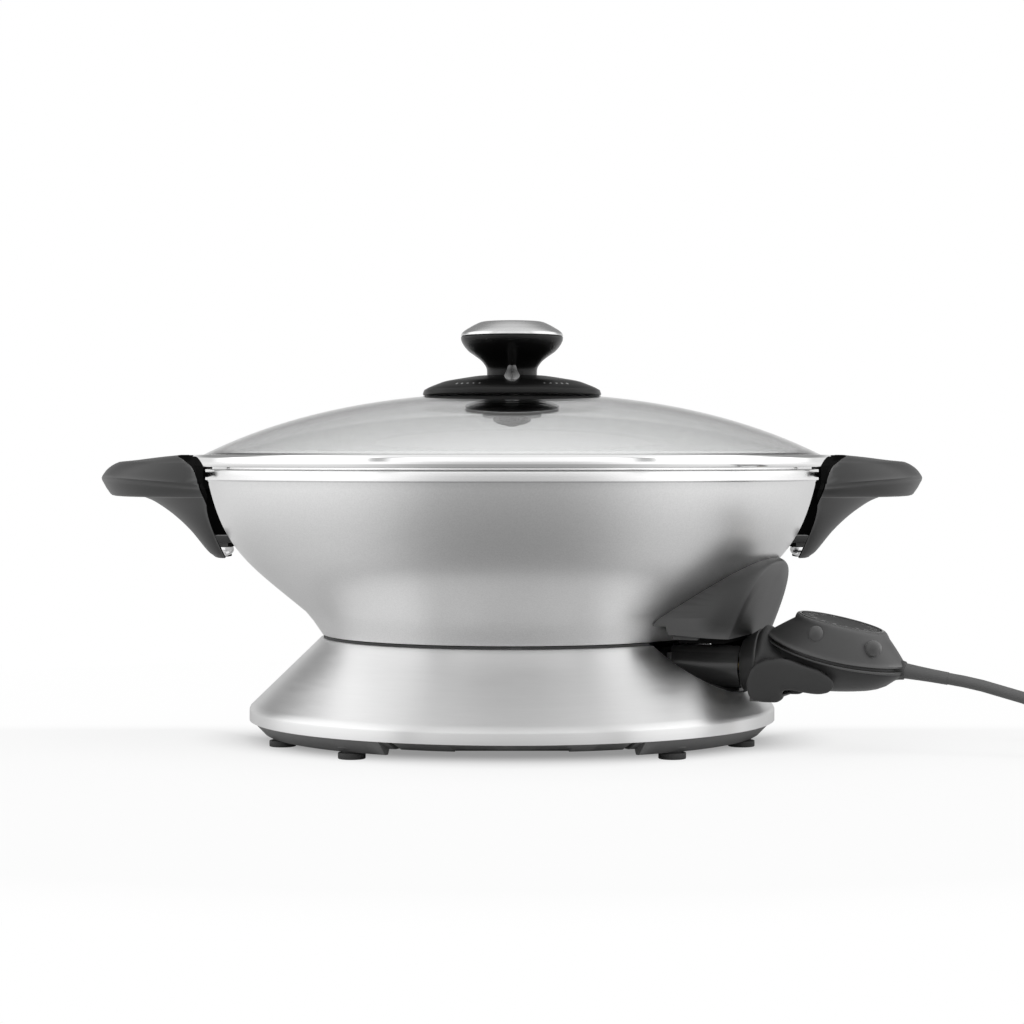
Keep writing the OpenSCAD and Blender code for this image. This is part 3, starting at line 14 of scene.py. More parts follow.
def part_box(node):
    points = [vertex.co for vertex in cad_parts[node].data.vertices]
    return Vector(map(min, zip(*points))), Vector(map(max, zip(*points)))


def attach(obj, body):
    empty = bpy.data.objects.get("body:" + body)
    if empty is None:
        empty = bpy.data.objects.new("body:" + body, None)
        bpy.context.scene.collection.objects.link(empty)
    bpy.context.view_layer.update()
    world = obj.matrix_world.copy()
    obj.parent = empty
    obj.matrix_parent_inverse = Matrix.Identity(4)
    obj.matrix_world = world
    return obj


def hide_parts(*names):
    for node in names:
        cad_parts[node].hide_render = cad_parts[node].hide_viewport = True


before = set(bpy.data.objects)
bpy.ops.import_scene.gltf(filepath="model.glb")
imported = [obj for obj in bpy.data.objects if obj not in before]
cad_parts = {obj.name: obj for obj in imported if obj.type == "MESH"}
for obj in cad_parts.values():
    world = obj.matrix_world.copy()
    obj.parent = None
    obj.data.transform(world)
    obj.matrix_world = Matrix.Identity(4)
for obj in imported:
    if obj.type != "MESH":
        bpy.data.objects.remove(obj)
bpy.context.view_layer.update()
MM = 0.001


def span(node):
    """Lowest and highest corner of a CAD node, in millimetres."""
    low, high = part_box(node)
    return low / MM, high / MM


# ---------------------------------------------------------------- driving sizes, in millimetres

RIM_R = span("wok_bowl")[1].x
RIM_Z = span("wok_bowl")[1].z
RIM_BAND_H = 6.3
BOWL_T = 3.4
FOOT_RING_R = 109.5
BELLY_Z = 52
SKIRT_R = span("base_skirt")[1].x
SKIRT_TOP_R = 110.2
SKIRT_TOP_Z = span("base_skirt")[1].z
BAND_TOP_Z = 18.9
BAND_LOW_Z = span("base_skirt")[0].z
SEAT_R = 99
SEAT_Z = SKIRT_TOP_Z + 1.8
SHEET_T = 1.0
NOTCH_HALF_W = 47
NOTCH_LOW_Z = 30.5
FOOT_CIRCLE_R = 137
FOOT_R = 7.5
PLATE_LOW_Z = 7
RING_R = span("lid_rim")[1].x
RING_LOW_Z = RIM_Z + 1.5
RING_H = 6.7
DOME_Z = 199.8
DOME_DROP = 27.35
DOME_TURN = 8.62
GLASS_T = 4
GLASS_R = RING_R - 6.9
GLASS_HOLE_R = 17.9
COLLAR_R = span("vent_collar")[1].x
COLLAR_Z = DOME_Z + 9.6
KNOB_R = span("lid_knob")[1].x
KNOB_H = 31.6
CAP_H = 8.7
CAP_Z = COLLAR_Z + KNOB_H - CAP_H
NECK_R = 14.5
CUP_DROP = 15.6
HANDLE_REACH = span("handle_right")[1].x
HANDLE_HALF_W = 77
HANDLE_CREASE_Z = 147
HANDLE_TOP_Z = span("handle_right")[1].z
HANDLE_IN_R = RING_R + 4.9
KEEL_Z = span("handle_right")[0].z
STUD_X = RIM_R - 11.1
LUG_Z = KEEL_Z + 8.6
NUT_R = 5.5
NUT_TOP_Z = LUG_Z - 2.5
SOCKET_Z = 44.7
PROBE_TURN = -20
PROBE_X = 139.5
THROAT_X = PROBE_X + 9.8
HOUSING_X = PROBE_X + 51.8
HOUSING_A = 38.3
HOUSING_B = 30.5
DIAL_X = PROBE_X + 54.8
DIAL_Z = SOCKET_Z + 26.3
DIAL_R = 22.4
DIAL_T = 3.2
DIAL_TILT = 13.1
DIAL_SWEEP = 300
TRIGGER_IN_W = 24
TRIGGER_OUT_W = 28.4
GUARD_X = PROBE_X + 2.7
GUARD_Z = 62
GUARD_HALF_W = 47
GUARD_H = 41.4
GUARD_LEAN = 22.5
GUARD_T = 2.4
CORD_R = 3.25
COIL_R = 42
COIL_PITCH = 7.1
COIL_TURNS = 4.5
COIL_X = 372

PROBE = Matrix.Rotation(math.radians(PROBE_TURN), 4, "Z")
DIAL = PROBE @ Matrix.Translation((DIAL_X, 0, DIAL_Z)) @ Matrix.Rotation(math.radians(DIAL_TILT), 4, "Y")
HALF_TURN = Matrix.Rotation(math.pi, 4, "Z")
FLAT = Matrix.Rotation(math.radians(90), 4, "X")


# ---------------------------------------------------------------- camera

def make_camera():
    data = bpy.data.cameras.new("camera")
    data.sensor_width = 36
    data.lens = 89.65
    data.shift_y = -0.0508
    data.clip_start = 0.05
    data.clip_end = 60
    camera = link(bpy.data.objects.new("camera", data))
    camera.location = (0, -1.479, 0.1607)
    camera.rotation_euler = (math.radians(90), 0, 0)
    bpy.context.scene.camera = camera


# ---------------------------------------------------------------- outlines

def near(x, z, steps):
    """Corners given as steps from (x, z), with their fillet radius or other values after them."""
    return [(x + step_x, z + step_z, *more) for step_x, step_z, *more in steps]


def rectangle(x_low, x_high, z_low, z_high, *fillets):
    """A rectangle's corners, from its low inner one round by the low outer one, with any fillet radii in that order."""
    corners = [(x_low, z_low), (x_high, z_low), (x_high, z_high), (x_low, z_high)]
    return [(*corner, radius) for corner, radius in zip(corners, [*fillets, 0, 0, 0, 0])]


def turned(r, turn, z):
    """A point at a radius, an angle and a height."""
    return (r * math.cos(turn), r * math.sin(turn), z)


def bezier(p, t):
    """A point on a cubic curve."""
    s = 1 - t
    return s * s * s * p[0] + 3 * s * s * t * p[1] + 3 * s * t * t * p[2] + t * t * t * p[3]


def bezier_offset(p, t, gap):
    """A point beside a cubic curve, gap to the left of its way."""
    s = 1 - t
    way = s * s * (p[1] - p[0]) + 2 * s * t * (p[2] - p[1]) + t * t * (p[3] - p[2])
    way.normalize()
    return bezier(p, t) + gap * Vector((-way.y, way.x))


def smooth_line(points, steps=4):
    """A curve through the points, which may have any number of coordinates."""
    p = [Vector(q) for q in points]
    p = [2 * p[0] - p[1], *p, 2 * p[-1] - p[-2]]
    out = []
    for i in range(1, len(p) - 2):
        for k in range(steps):
            t = k / steps
            out.append(
                0.5 * (2 * p[i] + (p[i + 1] - p[i - 1]) * t
                       + (2 * p[i - 1] - 5 * p[i] + 4 * p[i + 1] - p[i + 2]) * t * t
                       + (3 * p[i] - p[i - 1] - 3 * p[i + 1] + p[i + 2]) * t * t * t)
            )
    return out + [p[-2]]


def rounded(points, steps=4):
    """A closed outline from (x, z) or (x, z, fillet radius) corners."""
    straight = 1.56
    flat = [Vector(p[:2]) for p in points]
    out = []
    for i, corner in enumerate(flat):
        radius = points[i][2] if len(points[i]) > 2 else 0
        before = flat[i - 1] - corner
        after = flat[(i + 1) % len(flat)] - corner
        half = before.angle(after) / 2 if radius and min(before.length, after.length) >= 1e-6 else math.pi
        if half > straight:
            out.append(corner)
            continue
        reach = min(radius / math.tan(half), 0.48 * before.length, 0.48 * after.length)
        start = corner + before.normalized() * reach
        end = corner + after.normalized() * reach
        middle = (before.normalized() + after.normalized()).normalized()
        centre = corner + middle * reach / math.cos(half)
        for k in range(steps + 1):
            spoke = (start - centre).lerp(end - centre, k / steps)
            out.append(centre + spoke.normalized() * (start - centre).length)
    return out


# ---------------------------------------------------------------- meshes

def link(obj):
    bpy.context.scene.collection.objects.link(obj)
    return obj


def smooth(mesh, sharp):
    mesh.shade_smooth()
    mesh.set_sharp_from_angle(angle=math.radians(sharp))


def edit(mesh, *steps):
    """Runs steps on a mesh's editable form."""
    shape = bmesh.new()
    shape.from_mesh(mesh)
    for step in steps:
        step(shape)
    shape.to_mesh(mesh)
    shape.free()


def face_outwards(shape):
    bmesh.ops.recalc_face_normals(shape, faces=shape.faces)


def build(name, points, faces, place=Matrix(), sharp=32):
    """A closed piece from points in millimetres, turned into its place, in metres."""
    mesh = bpy.data.meshes.new(name)
    mesh.from_pydata([Vector(p) for p in points], [], faces)
    edit(
        mesh,
        lambda shape: bmesh.ops.remove_doubles(shape, verts=shape.verts, dist=1e-3),
        lambda shape: bmesh.ops.dissolve_degenerate(shape, edges=shape.edges, dist=1e-3),
        face_outwards,
    )
    mesh.transform(Matrix.Scale(MM, 4) @ place)
    smooth(mesh, sharp)
    return link(bpy.data.objects.new(name, mesh))


def lathe(name, points, place=Matrix(), steps=128, sharp=32):
    """A closed outline of (r, z) corners turned round the Z axis."""
    line = rounded(points)
    n = len(line)
    places = [turned(p.x, a, p.y) for a in (2 * math.pi * k / steps for k in range(steps)) for p in line]
    faces = []
    for k in range(steps):
        for i in range(n):
            j = (i + 1) % n
            if line[i].x < 1e-6 and line[j].x < 1e-6:
                continue
            a, b = k * n, (k + 1) % steps * n
            faces.append((a + i, b + i, b + j, a + j))
    return build(name, places, faces, place, sharp)


def loft(name, rings, place=Matrix(), sharp=32):
    """A closed skin over rings of points that all have the same count."""
    n = len(rings[0])
    faces = [
        (k * n + i, k * n + (i + 1) % n, (k + 1) * n + (i + 1) % n, (k + 1) * n + i)
        for k in range(len(rings) - 1)
        for i in range(n)
    ]
    faces += [tuple(range(n)), tuple((len(rings) - 1) * n + i for i in range(n))]
    return build(name, [p for ring in rings for p in ring], faces, place, sharp)


def slab(name, outline, depth, place=Matrix(), sharp=32):
    """A closed outline of (x, z) corners, drawn out by half the depth to each side of y = 0."""
    line = rounded(outline)
    return loft(name, [[(p.x, y, p.y) for p in line] for y in (-depth / 2, depth / 2)], place, sharp)


def modify(obj, kind, **settings):
    modifier = obj.modifiers.new(kind.lower(), kind)
    for key, value in settings.items():
        setattr(modifier, key, value)
    return modifier


def baked_mesh(obj):
    """The mesh that an object's modifiers or curve make."""
    view = bpy.context.evaluated_depsgraph_get()
    return bpy.data.meshes.new_from_object(obj.evaluated_get(view), depsgraph=view)


def settle(obj, sharp=32):
    """Turns a piece's modifiers into plain mesh."""
    mesh = baked_mesh(obj)
    obj.modifiers.clear()
    obj.data = mesh
    smooth(mesh, sharp)
    return obj


def cut(obj, *tools, operation="DIFFERENCE", sharp=32):
    """Takes the tools' shapes from a piece, or joins them to it, and removes the tools."""
    for tool in tools:
        modify(obj, "BOOLEAN", operation=operation, solver="EXACT", object=tool)
    settle(obj, sharp)
    for tool in tools:
        bpy.data.objects.remove(tool)
    return obj


def ease(obj, width, angle=34, sharp=32):
    """Rounds a piece's edges."""
    modify(
        obj, "BEVEL", width=width * MM, segments=3, limit_method="ANGLE", angle_limit=math.radians(angle),
        use_clamp_overlap=True,
    )
    return settle(obj, sharp)


def merged(node, name, width, angle=34, sharp=32):
    """A copy of a CAD node with its triangles joined into faces and its edges eased."""
    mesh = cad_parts[node].data.copy()
    for attribute in ("custom_normal", "normal"):
        if attribute in mesh.attributes:
            mesh.attributes.remove(mesh.attributes[attribute])
    edit(
        mesh,
        lambda shape: bmesh.ops.remove_doubles(shape, verts=shape.verts, dist=1e-6),
        lambda shape: bmesh.ops.dissolve_limit(
            shape, angle_limit=math.radians(0.6), verts=shape.verts, edges=shape.edges
        ),
    )
    mesh.name = name
    obj = link(bpy.data.objects.new(name, mesh))
    smooth(mesh, sharp)
    return ease(obj, width, angle, sharp)


def finish_piece(obj, body, material, slot, *nodes):
    """Paints a piece, hangs it on the body it rides on, and hides the CAD nodes it stands for."""
    obj.data.materials.clear()
    obj.data.materials.append(material)
    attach(obj, body)
    if nodes:
        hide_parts(*nodes)
    return obj


def dress(node, name, body, material, slot, *easing):
    """Puts a CAD node's eased copy in its place, in its finish."""
    return finish_piece(merged(node, name, *easing), body, material, slot, node)


def join(obj, *others):
    """Adds closed shells to a piece as they are."""
    edit(obj.data, *[lambda shape, mesh=other.data: shape.from_mesh(mesh) for other in others])
    for other in others:
        bpy.data.objects.remove(other)
    return obj


# ---------------------------------------------------------------- node helpers

class Wire:
    """A node's output, which stands in a sum as a number does."""

    def __init__(self, socket):
        self.socket = socket
        self.tree = socket.id_data

    def __add__(self, other):
        return calc("ADD", self, other)

    def __radd__(self, other):
        return calc("ADD", other, self)

    def __sub__(self, other):
        return calc("SUBTRACT", self, other)

    def __rsub__(self, other):
        return calc("SUBTRACT", other, self)

    def __mul__(self, other):
        return calc("MULTIPLY", self, other)

    def __truediv__(self, other):
        return calc("DIVIDE", self, other)

    def __rtruediv__(self, other):
        return calc("DIVIDE", other, self)

    def __pow__(self, other):
        return calc("POWER", self, other)


class Placed:
    """A node whose outputs are read as wires, by number or name."""

    def __init__(self, node):
        self.node = node

    def __getitem__(self, key):
        return Wire(self.node.outputs[key])

    def feed(self, inputs):
        """Sets inputs to values, or feeds them from wires."""
        for key, value in inputs.items():
            if isinstance(value, Wire):
                value.tree.links.new(value.socket, self.node.inputs[key])
            else:
                self.node.inputs[key].default_value = value


def add(tree, kind, inputs=None, **settings):
    """A node with its settings and inputs."""
    placed = Placed(tree.nodes.new(kind))
    for key, value in settings.items():
        setattr(placed.node, key, value)
    placed.feed(inputs or {})
    return placed


def calc(operation, *values, clamp=False):
    """The result of a math operation on wires and numbers."""
    tree = next(value.tree for value in values if isinstance(value, Wire))
    return add(tree, "ShaderNodeMath", dict(enumerate(values)), operation=operation, use_clamp=clamp)[0]


def mix_value(factor, a, b):
    return add(factor.tree, "ShaderNodeMix", {0: factor, 2: a, 3: b})[0]


def mix_colour(factor, a, b):
    return add(factor.tree, "ShaderNodeMix", {0: factor, 6: a, 7: b}, data_type="RGBA")[2]


def between(value, low, high, out_low=0.0, out_high=1.0, kind="SMOOTHSTEP"):
    """Value's place between low and high, as a number from out_low to out_high."""
    limits = {0: value, 1: low, 2: high, 3: out_low, 4: out_high}
    return add(value.tree, "ShaderNodeMapRange", limits, interpolation_type=kind)[0]


def split(value):
    return add(value.tree, "ShaderNodeSeparateXYZ", {0: value})


def combine(tree, *values):
    return add(tree, "ShaderNodeCombineXYZ", dict(enumerate(values)))[0]


def noise(where, scale, detail, roughness=0.5):
    inputs = {"Vector": where, "Scale": scale, "Detail": detail, "Roughness": roughness}
    return add(where.tree, "ShaderNodeTexNoise", inputs)[0]


def object_place(tree):
    return add(tree, "ShaderNodeTexCoord")["Object"]


def grey(value):
    return (value, value, value, 1)


def empty_tree(owner):
    """The node tree of a material or world, with nothing in it."""
    owner.use_nodes = True
    owner.node_tree.nodes.clear()
    return owner.node_tree


def new_group(name, inputs):
    """A shader node group with named inputs and their values."""
    group = bpy.data.node_groups.new(name, "ShaderNodeTree")
    for key, value in inputs.items():
        group.interface.new_socket(key, in_out="INPUT", socket_type="NodeSocketFloat").default_value = value
    return group, Placed(group.nodes.new("NodeGroupInput"))


def give(group, **outputs):
    """Gives a group its named outputs."""
    for key in outputs:
        group.interface.new_socket(key, in_out="OUTPUT", socket_type="NodeSocketFloat")
    Placed(group.nodes.new("NodeGroupOutput")).feed(outputs)
    return group


def grown_piece(name, values, material, grow, places=()):
    """A piece that a node tree grows from named values, and from places where it has any, as plain mesh."""
    kinds = {float: "NodeSocketFloat", int: "NodeSocketInt", tuple: "NodeSocketVector"}
    tree = bpy.data.node_groups.new(name, "GeometryNodeTree")
    sockets = tree.interface
    sockets.new_socket("Geometry", in_out="INPUT", socket_type="NodeSocketGeometry")
    for key, value in values.items():
        sockets.new_socket(key, in_out="INPUT", socket_type=kinds[type(value)]).default_value = value
    paint = sockets.new_socket("Material", in_out="INPUT", socket_type="NodeSocketMaterial").identifier
    sockets.new_socket("Geometry", in_out="OUTPUT", socket_type="NodeSocketGeometry")
    given = Placed(tree.nodes.new("NodeGroupInput"))
    real = add(tree, "GeometryNodeRealizeInstances", {0: grow(tree, given)})[0]
    painted = add(tree, "GeometryNodeSetMaterial", {"Geometry": real, "Material": given["Material"]})[0]
    add(tree, "NodeGroupOutput", {0: painted})
    mesh = bpy.data.meshes.new(name)
    mesh.from_pydata(places, [], [])
    piece = link(bpy.data.objects.new(name, mesh))
    modify(piece, "NODES", node_group=tree)[paint] = material
    return settle(piece)


# ---------------------------------------------------------------- shared effects

def moulded_grain():
    """Fine pebbled texture of a moulded surface, a slow unevenness from handling, and where its edges are."""
    group, given = new_group("moulded grain", {"Size": 1.0, "Unevenness": 0.5})
    where = object_place(group)
    scale = 1.0 / (given["Size"] * MM)
    cells = add(group, "ShaderNodeTexVoronoi", {"Vector": where, "Scale": scale}, feature="SMOOTH_F1")["Distance"]
    point = add(group, "ShaderNodeNewGeometry")["Pointiness"]
    return give(
        group, Height=cells + noise(where, scale, 3.0),
        Mottle=(noise(where, 38.0, 4.0) - 0.5) * given["Unevenness"], Edge=between(point, 0.505, 0.56),
    )


def turned_streaks():
    """Brushing that runs round the Z axis: fine lines across the outline, long along the turn."""
    group, given = new_group("turned streaks", {"Across": 9000.0, "Along": 4.0})
    where = object_place(group)
    axis = split(where)
    reach = calc("SQRT", axis[0] * axis[0] + axis[1] * axis[1])
    safe = calc("MAXIMUM", reach, 1e-5)
    line = combine(
        group, axis[0] / safe * given["Along"], axis[1] / safe * given["Along"],
        (reach + axis[2] * 0.83) * given["Across"],
    )
    fine = noise(line, 1.0, 3.0, 0.7)
    return give(group, Height=fine, Streak=fine * 0.6 + noise(line, 0.12, 2.0) * 0.4, Cloud=noise(where, 22.0, 3.0))


def blasted_speckle():
    """The sparkling fine speckle of a blasted or flaked metal coat."""
    group, given = new_group("blasted speckle", {"Size": 0.5})
    where = object_place(group)
    scale = 1.0 / (given["Size"] * MM)
    fine = noise(where, scale, 2.0, 0.8)
    flake = split(add(group, "ShaderNodeTexVoronoi", {"Vector": where, "Scale": scale})["Color"])[0]
    return give(group, Height=fine, Speckle=flake * 0.5 + fine * 0.5, Cloud=noise(where, 16.0, 4.0))


GRAIN = moulded_grain()
STREAKS = turned_streaks()
SPECKLE = blasted_speckle()


# ---------------------------------------------------------------- materials

def surface(name, group, values, **constants):
    """A material whose shader has its constants on its own sockets, and a shared effect's outputs to feed it."""
    material = bpy.data.materials.new(name)
    tree = empty_tree(material)
    shader = add(tree, "ShaderNodeBsdfPrincipled", {key.replace("_", " "): value for key, value in constants.items()})
    add(tree, "ShaderNodeOutputMaterial", {0: shader[0]})
    return material, shader, add(tree, "ShaderNodeGroup", values, node_tree=group)


def feed(shader, colour, roughness, height=None, bump=0.0, distance=0.05):
    """Feeds the shader's changing inputs; distance is the bump's real depth in millimetres."""
    shader.feed({"Base Color": colour, "Roughness": roughness})
    if height:
        inputs = {"Strength": bump, "Distance": distance * MM, "Height": height}
        shader.feed({"Normal": add(height.tree, "ShaderNodeBump", inputs)[0]})


def mottled(factor, tone, contrast):
    """A grey that varies by a share of its tone to both sides."""
    return mix_colour(factor, grey(tone * (1 - contrast)), grey(min(1, tone * (1 + contrast))))


def moulding(name, tone, roughness, grain=0.5, bump=0.25, uneven=0.5, wear_and_highlight=0.6, **constants):
    """A moulded plastic or rubber with a fine grain, slightly uneven sheen and paler edges, part wear, part painted
    highlight.
    """
    material, shader, out = surface(name, GRAIN, {"Size": grain, "Unevenness": uneven}, **constants)
    shade = between(out["Mottle"], -0.3, 0.3)
    colour = mix_colour(shade, grey(tone * 0.86), grey(tone * 1.14))
    # Convex edges are paled: partly rubbed wear, partly a painted highlight standing in for light caught on the edges.
    colour = mix_colour(out["Edge"] * wear_and_highlight, colour, grey(tone * 2.2 + 0.05))
    feed(shader, colour, calc("ADD", out["Mottle"] * 0.25, roughness, clamp=True), out["Height"], bump, 0.1)
    return material


def turned_metal(name, tone, roughness, across=9000.0, bump=0.12, contrast=0.1, **constants):
    """A metal with fine brushing round the Z axis."""
    material, shader, out = surface(name, STREAKS, {"Across": across}, Metallic=1.0, **constants)
    shader.feed({"Tangent": add(material.node_tree, "ShaderNodeTangent", direction_type="RADIAL", axis="Z")[0]})
    rough = (out["Streak"] - 0.5) * 0.25 + roughness
    feed(shader, mottled(out["Streak"], tone, contrast), rough, out["Height"], bump)
    return material


def satin_metal(name, tone, roughness, size=0.5, bump=0.1, contrast=0.08):
    """A blasted or flaked metal coat."""
    material, shader, out = surface(name, SPECKLE, {"Size": size}, Metallic=1.0)
    rough = (out["Cloud"] - 0.5) * 0.12 + roughness
    feed(shader, mottled(out["Speckle"], tone, contrast), rough, out["Height"], bump)
    return material


def coloured_metal(name, colour, roughness):
    """A plain metal of a colour of its own, faintly mottled."""
    material, shader, out = surface(name, SPECKLE, {"Size": 1.2}, Metallic=1.0)
    blend = mix_colour(out["Cloud"], (*[part * 0.82 for part in colour], 1), (*colour, 1))
    feed(shader, blend, out["Speckle"] * 0.15 + roughness, out["Height"], 0.1)
    return material


def lid_glass_material():
    """Clear tempered glass with a faint grey body, barely uneven faces, and darkened where it is seen edge on."""
    material, shader, out = surface(
        "tempered glass", SPECKLE, {"Size": 60.0}, Metallic=0.0, Transmission_Weight=1.0, IOR=1.5,
        Specular_IOR_Level=0.16,
    )
    colour = mix_colour(out["Cloud"], (0.965, 0.972, 0.97, 1), (0.985, 0.99, 0.988, 1))
    facing = add(material.node_tree, "ShaderNodeLayerWeight", {"Blend": 0.5})["Facing"]
    # Where the dome is seen edge on its colour is darkened: painted shade for the dark rim that real glass shows there.
    edge = between(facing, 0.7, 0.97, kind="LINEAR") ** 1.6
    feed(shader, mix_colour(edge, colour, (0.6, 0.61, 0.605, 1)), out["Cloud"] * 0.01)
    return material


def nonstick_material():
    """Dark non-stick coat with fine pale flecks."""
    material, shader, out = surface(
        "nonstick coat", SPECKLE, {"Size": 0.7}, Metallic=0.0, Coat_Weight=0.25, Coat_Roughness=0.3
    )
    colour = mix_colour(between(out["Speckle"], 0.72, 0.8), grey(0.028), grey(0.09))
    feed(shader, colour, between(out["Cloud"], 0.2, 0.8, 0.42, 0.55), out["Height"], 0.15)
    return material


def cord_material():
    """Soft grey sheath, with the slow shine bands of extruded plastic."""
    material, shader, out = surface("cord sheath", GRAIN, {"Size": 0.5, "Unevenness": 0.8}, Metallic=0.0, IOR=1.45)
    colour = mix_colour(between(out["Mottle"], -0.4, 0.4), grey(0.085), grey(0.115))
    feed(shader, colour, out["Mottle"] * 0.2 + 0.5, out["Height"], 0.15, 0.1)
    return material


BRUSHED = turned_metal(
    "brushed skirt steel", 0.76, 0.38, 2400.0, 0.04, 0.07, Anisotropic=0.85, Anisotropic_Rotation=0.25
)
SATIN = satin_metal("silver bowl coat", 0.74, 0.34)
POLISHED_BAND = turned_metal(
    "machined rim", 0.92, 0.22, bump=0.03, contrast=0.05, Anisotropic=0.4, Anisotropic_Rotation=0.25
)
NONSTICK = nonstick_material()
POLISHED = turned_metal("polished steel", 0.92, 0.1, bump=0.02, contrast=0.03)
CAP_METAL = turned_metal(
    "spun knob cap", 0.7, 0.26, bump=0.03, contrast=0.06, Anisotropic=0.5, Anisotropic_Rotation=0.25
)
TRIM = satin_metal("dark chrome", 0.12, 0.22, 3.0, 0.01, 0.02)
CHROME = satin_metal("chrome", 0.88, 0.08, 3.0, 0.01, 0.02)
PLAIN_STEEL = satin_metal("plain steel", 0.5, 0.34, 0.8)
ELEMENT = satin_metal("dull element steel", 0.26, 0.5, 0.8)
VENT_METAL = satin_metal("vent metal", 0.05, 0.3, 0.8)
COPPER = coloured_metal("dull copper", (0.7, 0.42, 0.28), 0.32)
BRASS = coloured_metal("plated contacts", (0.82, 0.64, 0.33), 0.22)
GLASS = lid_glass_material()
GLOSS = moulding("gloss black", 0.004, 0.24, 2.5, 0.015, 0.25, Specular_IOR_Level=0.22)
COLLAR_BLACK = moulding("collar black", 0.003, 0.3, 2.5, 0.015, 0.25, Specular_IOR_Level=0.1)
# The guard's edges are paled most: chiefly a painted highlight along its arch.
GUARD_BLACK = moulding("guard moulding", 0.02, 0.42, bump=0.12, uneven=0.35, wear_and_highlight=0.9, Specular_IOR_Level=0.4)
SHROUD = moulding("glossy shroud", 0.055, 0.24, 2.5, 0.015, 0.25)
HANDLE = moulding("satin phenolic", 0.04, 0.42, bump=0.1, uneven=0.35, Specular_IOR_Level=0.4)
# Flat black with no sheen: the own colour of the rim saddles, backplate and hidden screws, and painted shade on the
# handles' inner faces and in the gaps under the heat guard.
FLAT_BLACK_AND_PAINTED_SHADE = moulding("flat black and painted shade", 0.004, 0.8, bump=0.1, uneven=0.35, wear_and_highlight=0.1, Specular_IOR_Level=0.0)
MATTE = moulding("matte black moulding", 0.032, 0.42, bump=0.15, uneven=0.35, Specular_IOR_Level=0.45)
COVER = moulding("charcoal moulding", 0.06, 0.46, bump=0.12, uneven=0.3)
PLATE = moulding("base moulding", 0.09, 0.5, 0.9)
RUBBER = moulding("black rubber", 0.02, 0.7, 0.6, 0.3)
POINTER = moulding("grey pointer", 0.1, 0.4, 0.6, 0.1)
DIAL_BLACK = moulding("dial black", 0.008, 0.45, bump=0.15, Specular_IOR_Level=0.25)
INK = moulding("dial ink", 0.16, 0.5, 0.3, 0.05)
CERAMIC = moulding("ceramic", 0.6, 0.5, 0.9, 0.2)
CORD = cord_material()


# ---------------------------------------------------------------- cord

RELIEF_START = (PROBE_X + 89.2, 0, SOCKET_Z + 0.4)
RELIEF_END = (PROBE_X + 114, 0, SOCKET_Z - 3.4)
LAY_Z = CORD_R + 0.6
SAG = [
    (262, 40), (272, 38), (283, 35.1), (294, 32.2), (304, 29), (314, 25), (323, 20.4), (332, 15.3), (341, 10),
    (349.5, 6), (357, 4.2), (361, LAY_Z), (COIL_X - 2 * CORD_R, LAY_Z),
]


def coil_point(u):
    """The coil winds in on the worktop, climbs a layer in half a turn, and winds out again on top."""
    r = COIL_R - COIL_PITCH * min(u, COIL_TURNS - u)
    climb = min(1, max(0, (u - COIL_TURNS / 2) / 0.5 + 0.5))
    a = math.radians(360 * u - 90)
    return (COIL_X + r * math.cos(a), COIL_R + r * math.sin(a), LAY_Z + COIL_PITCH * climb)


def make_cord():
    rings = 24
    coil = [coil_point(i / rings) for i in range(int(COIL_TURNS * rings) + 1)]
    plug_end = (COIL_X - 2 * CORD_R, 2 * COIL_R, LAY_Z + COIL_PITCH)
    route = [RELIEF_END, *[(x, 0, z) for x, z in SAG], *coil, plug_end]
    points = [PROBE @ (Vector(p) * MM) for p in route]
    curve = bpy.data.curves.new("mains_cord", "CURVE")
    curve.dimensions = "3D"
    curve.bevel_depth = CORD_R * MM
    curve.bevel_resolution = 6
    curve.use_fill_caps = True
    spline = curve.splines.new("POLY")
    spline.points.add(len(points) - 1)
    for point, place in zip(spline.points, points):
        point.co = (*place, 1)
    spline.use_smooth = True
    cord = link(bpy.data.objects.new("mains_cord", curve))
    finish_piece(cord, "probe", CORD, "cord_sheath", "cord_lead", "cord_coil")
    length = sum((b - a).length for a, b in zip(points, points[1:]))
    return cord, points[0], length


def make_plug_and_tie():
    return [
        dress("coil_tie", "cord_tie", "probe", RUBBER, "foot_rubber", 0.25),
        dress("plug_body", "mains_plug", "probe", MATTE, "cord_sheath", 0.8, 50, 40),
        dress("plug_pins", "mains_plug_pins", "probe", BRASS, "contact_brass", 0.3),
    ]


# ---------------------------------------------------------------- base

def cone_r(z):
    return SKIRT_R - (z - BAND_TOP_Z) * (SKIRT_R - SKIRT_TOP_R) / (SKIRT_TOP_Z - BAND_TOP_Z)


def notch_edge(count):
    """The notch's edge on the cone: turn from the probe's way, and height, from one side to the other."""
    bow = 2 / 2.2
    out = []
    for i in range(count + 1):
        t = math.radians(180 + 180 * i / count)
        across = NOTCH_HALF_W * math.copysign(abs(math.cos(t)) ** bow, math.cos(t))
        z = SKIRT_TOP_Z - (SKIRT_TOP_Z - NOTCH_LOW_Z) * abs(math.sin(t)) ** bow
        out.append((math.asin(across / cone_r(z)), z))
    return out


def skirt_column(top_z, in_notch):
    """The skirt's section at one turn, which the notch ends at its own edge."""
    low = BAND_TOP_Z + 0.6
    rows = [(SKIRT_R, BAND_LOW_Z), *near(SKIRT_R, BAND_TOP_Z, [(0, -1.1), (-0.12, -0.55), (-0.45, 0)])]
    rows += [(cone_r(low + (top_z - low) * k / 16), low + (top_z - low) * k / 16) for k in range(17)]
    seat = [*near(SKIRT_TOP_R, SKIRT_TOP_Z, [(-0.5, -0.05), (-1.2, 0)]), (SEAT_R, SKIRT_TOP_Z)]
    return rows + ([rows[-1]] * len(seat) if in_notch else seat)


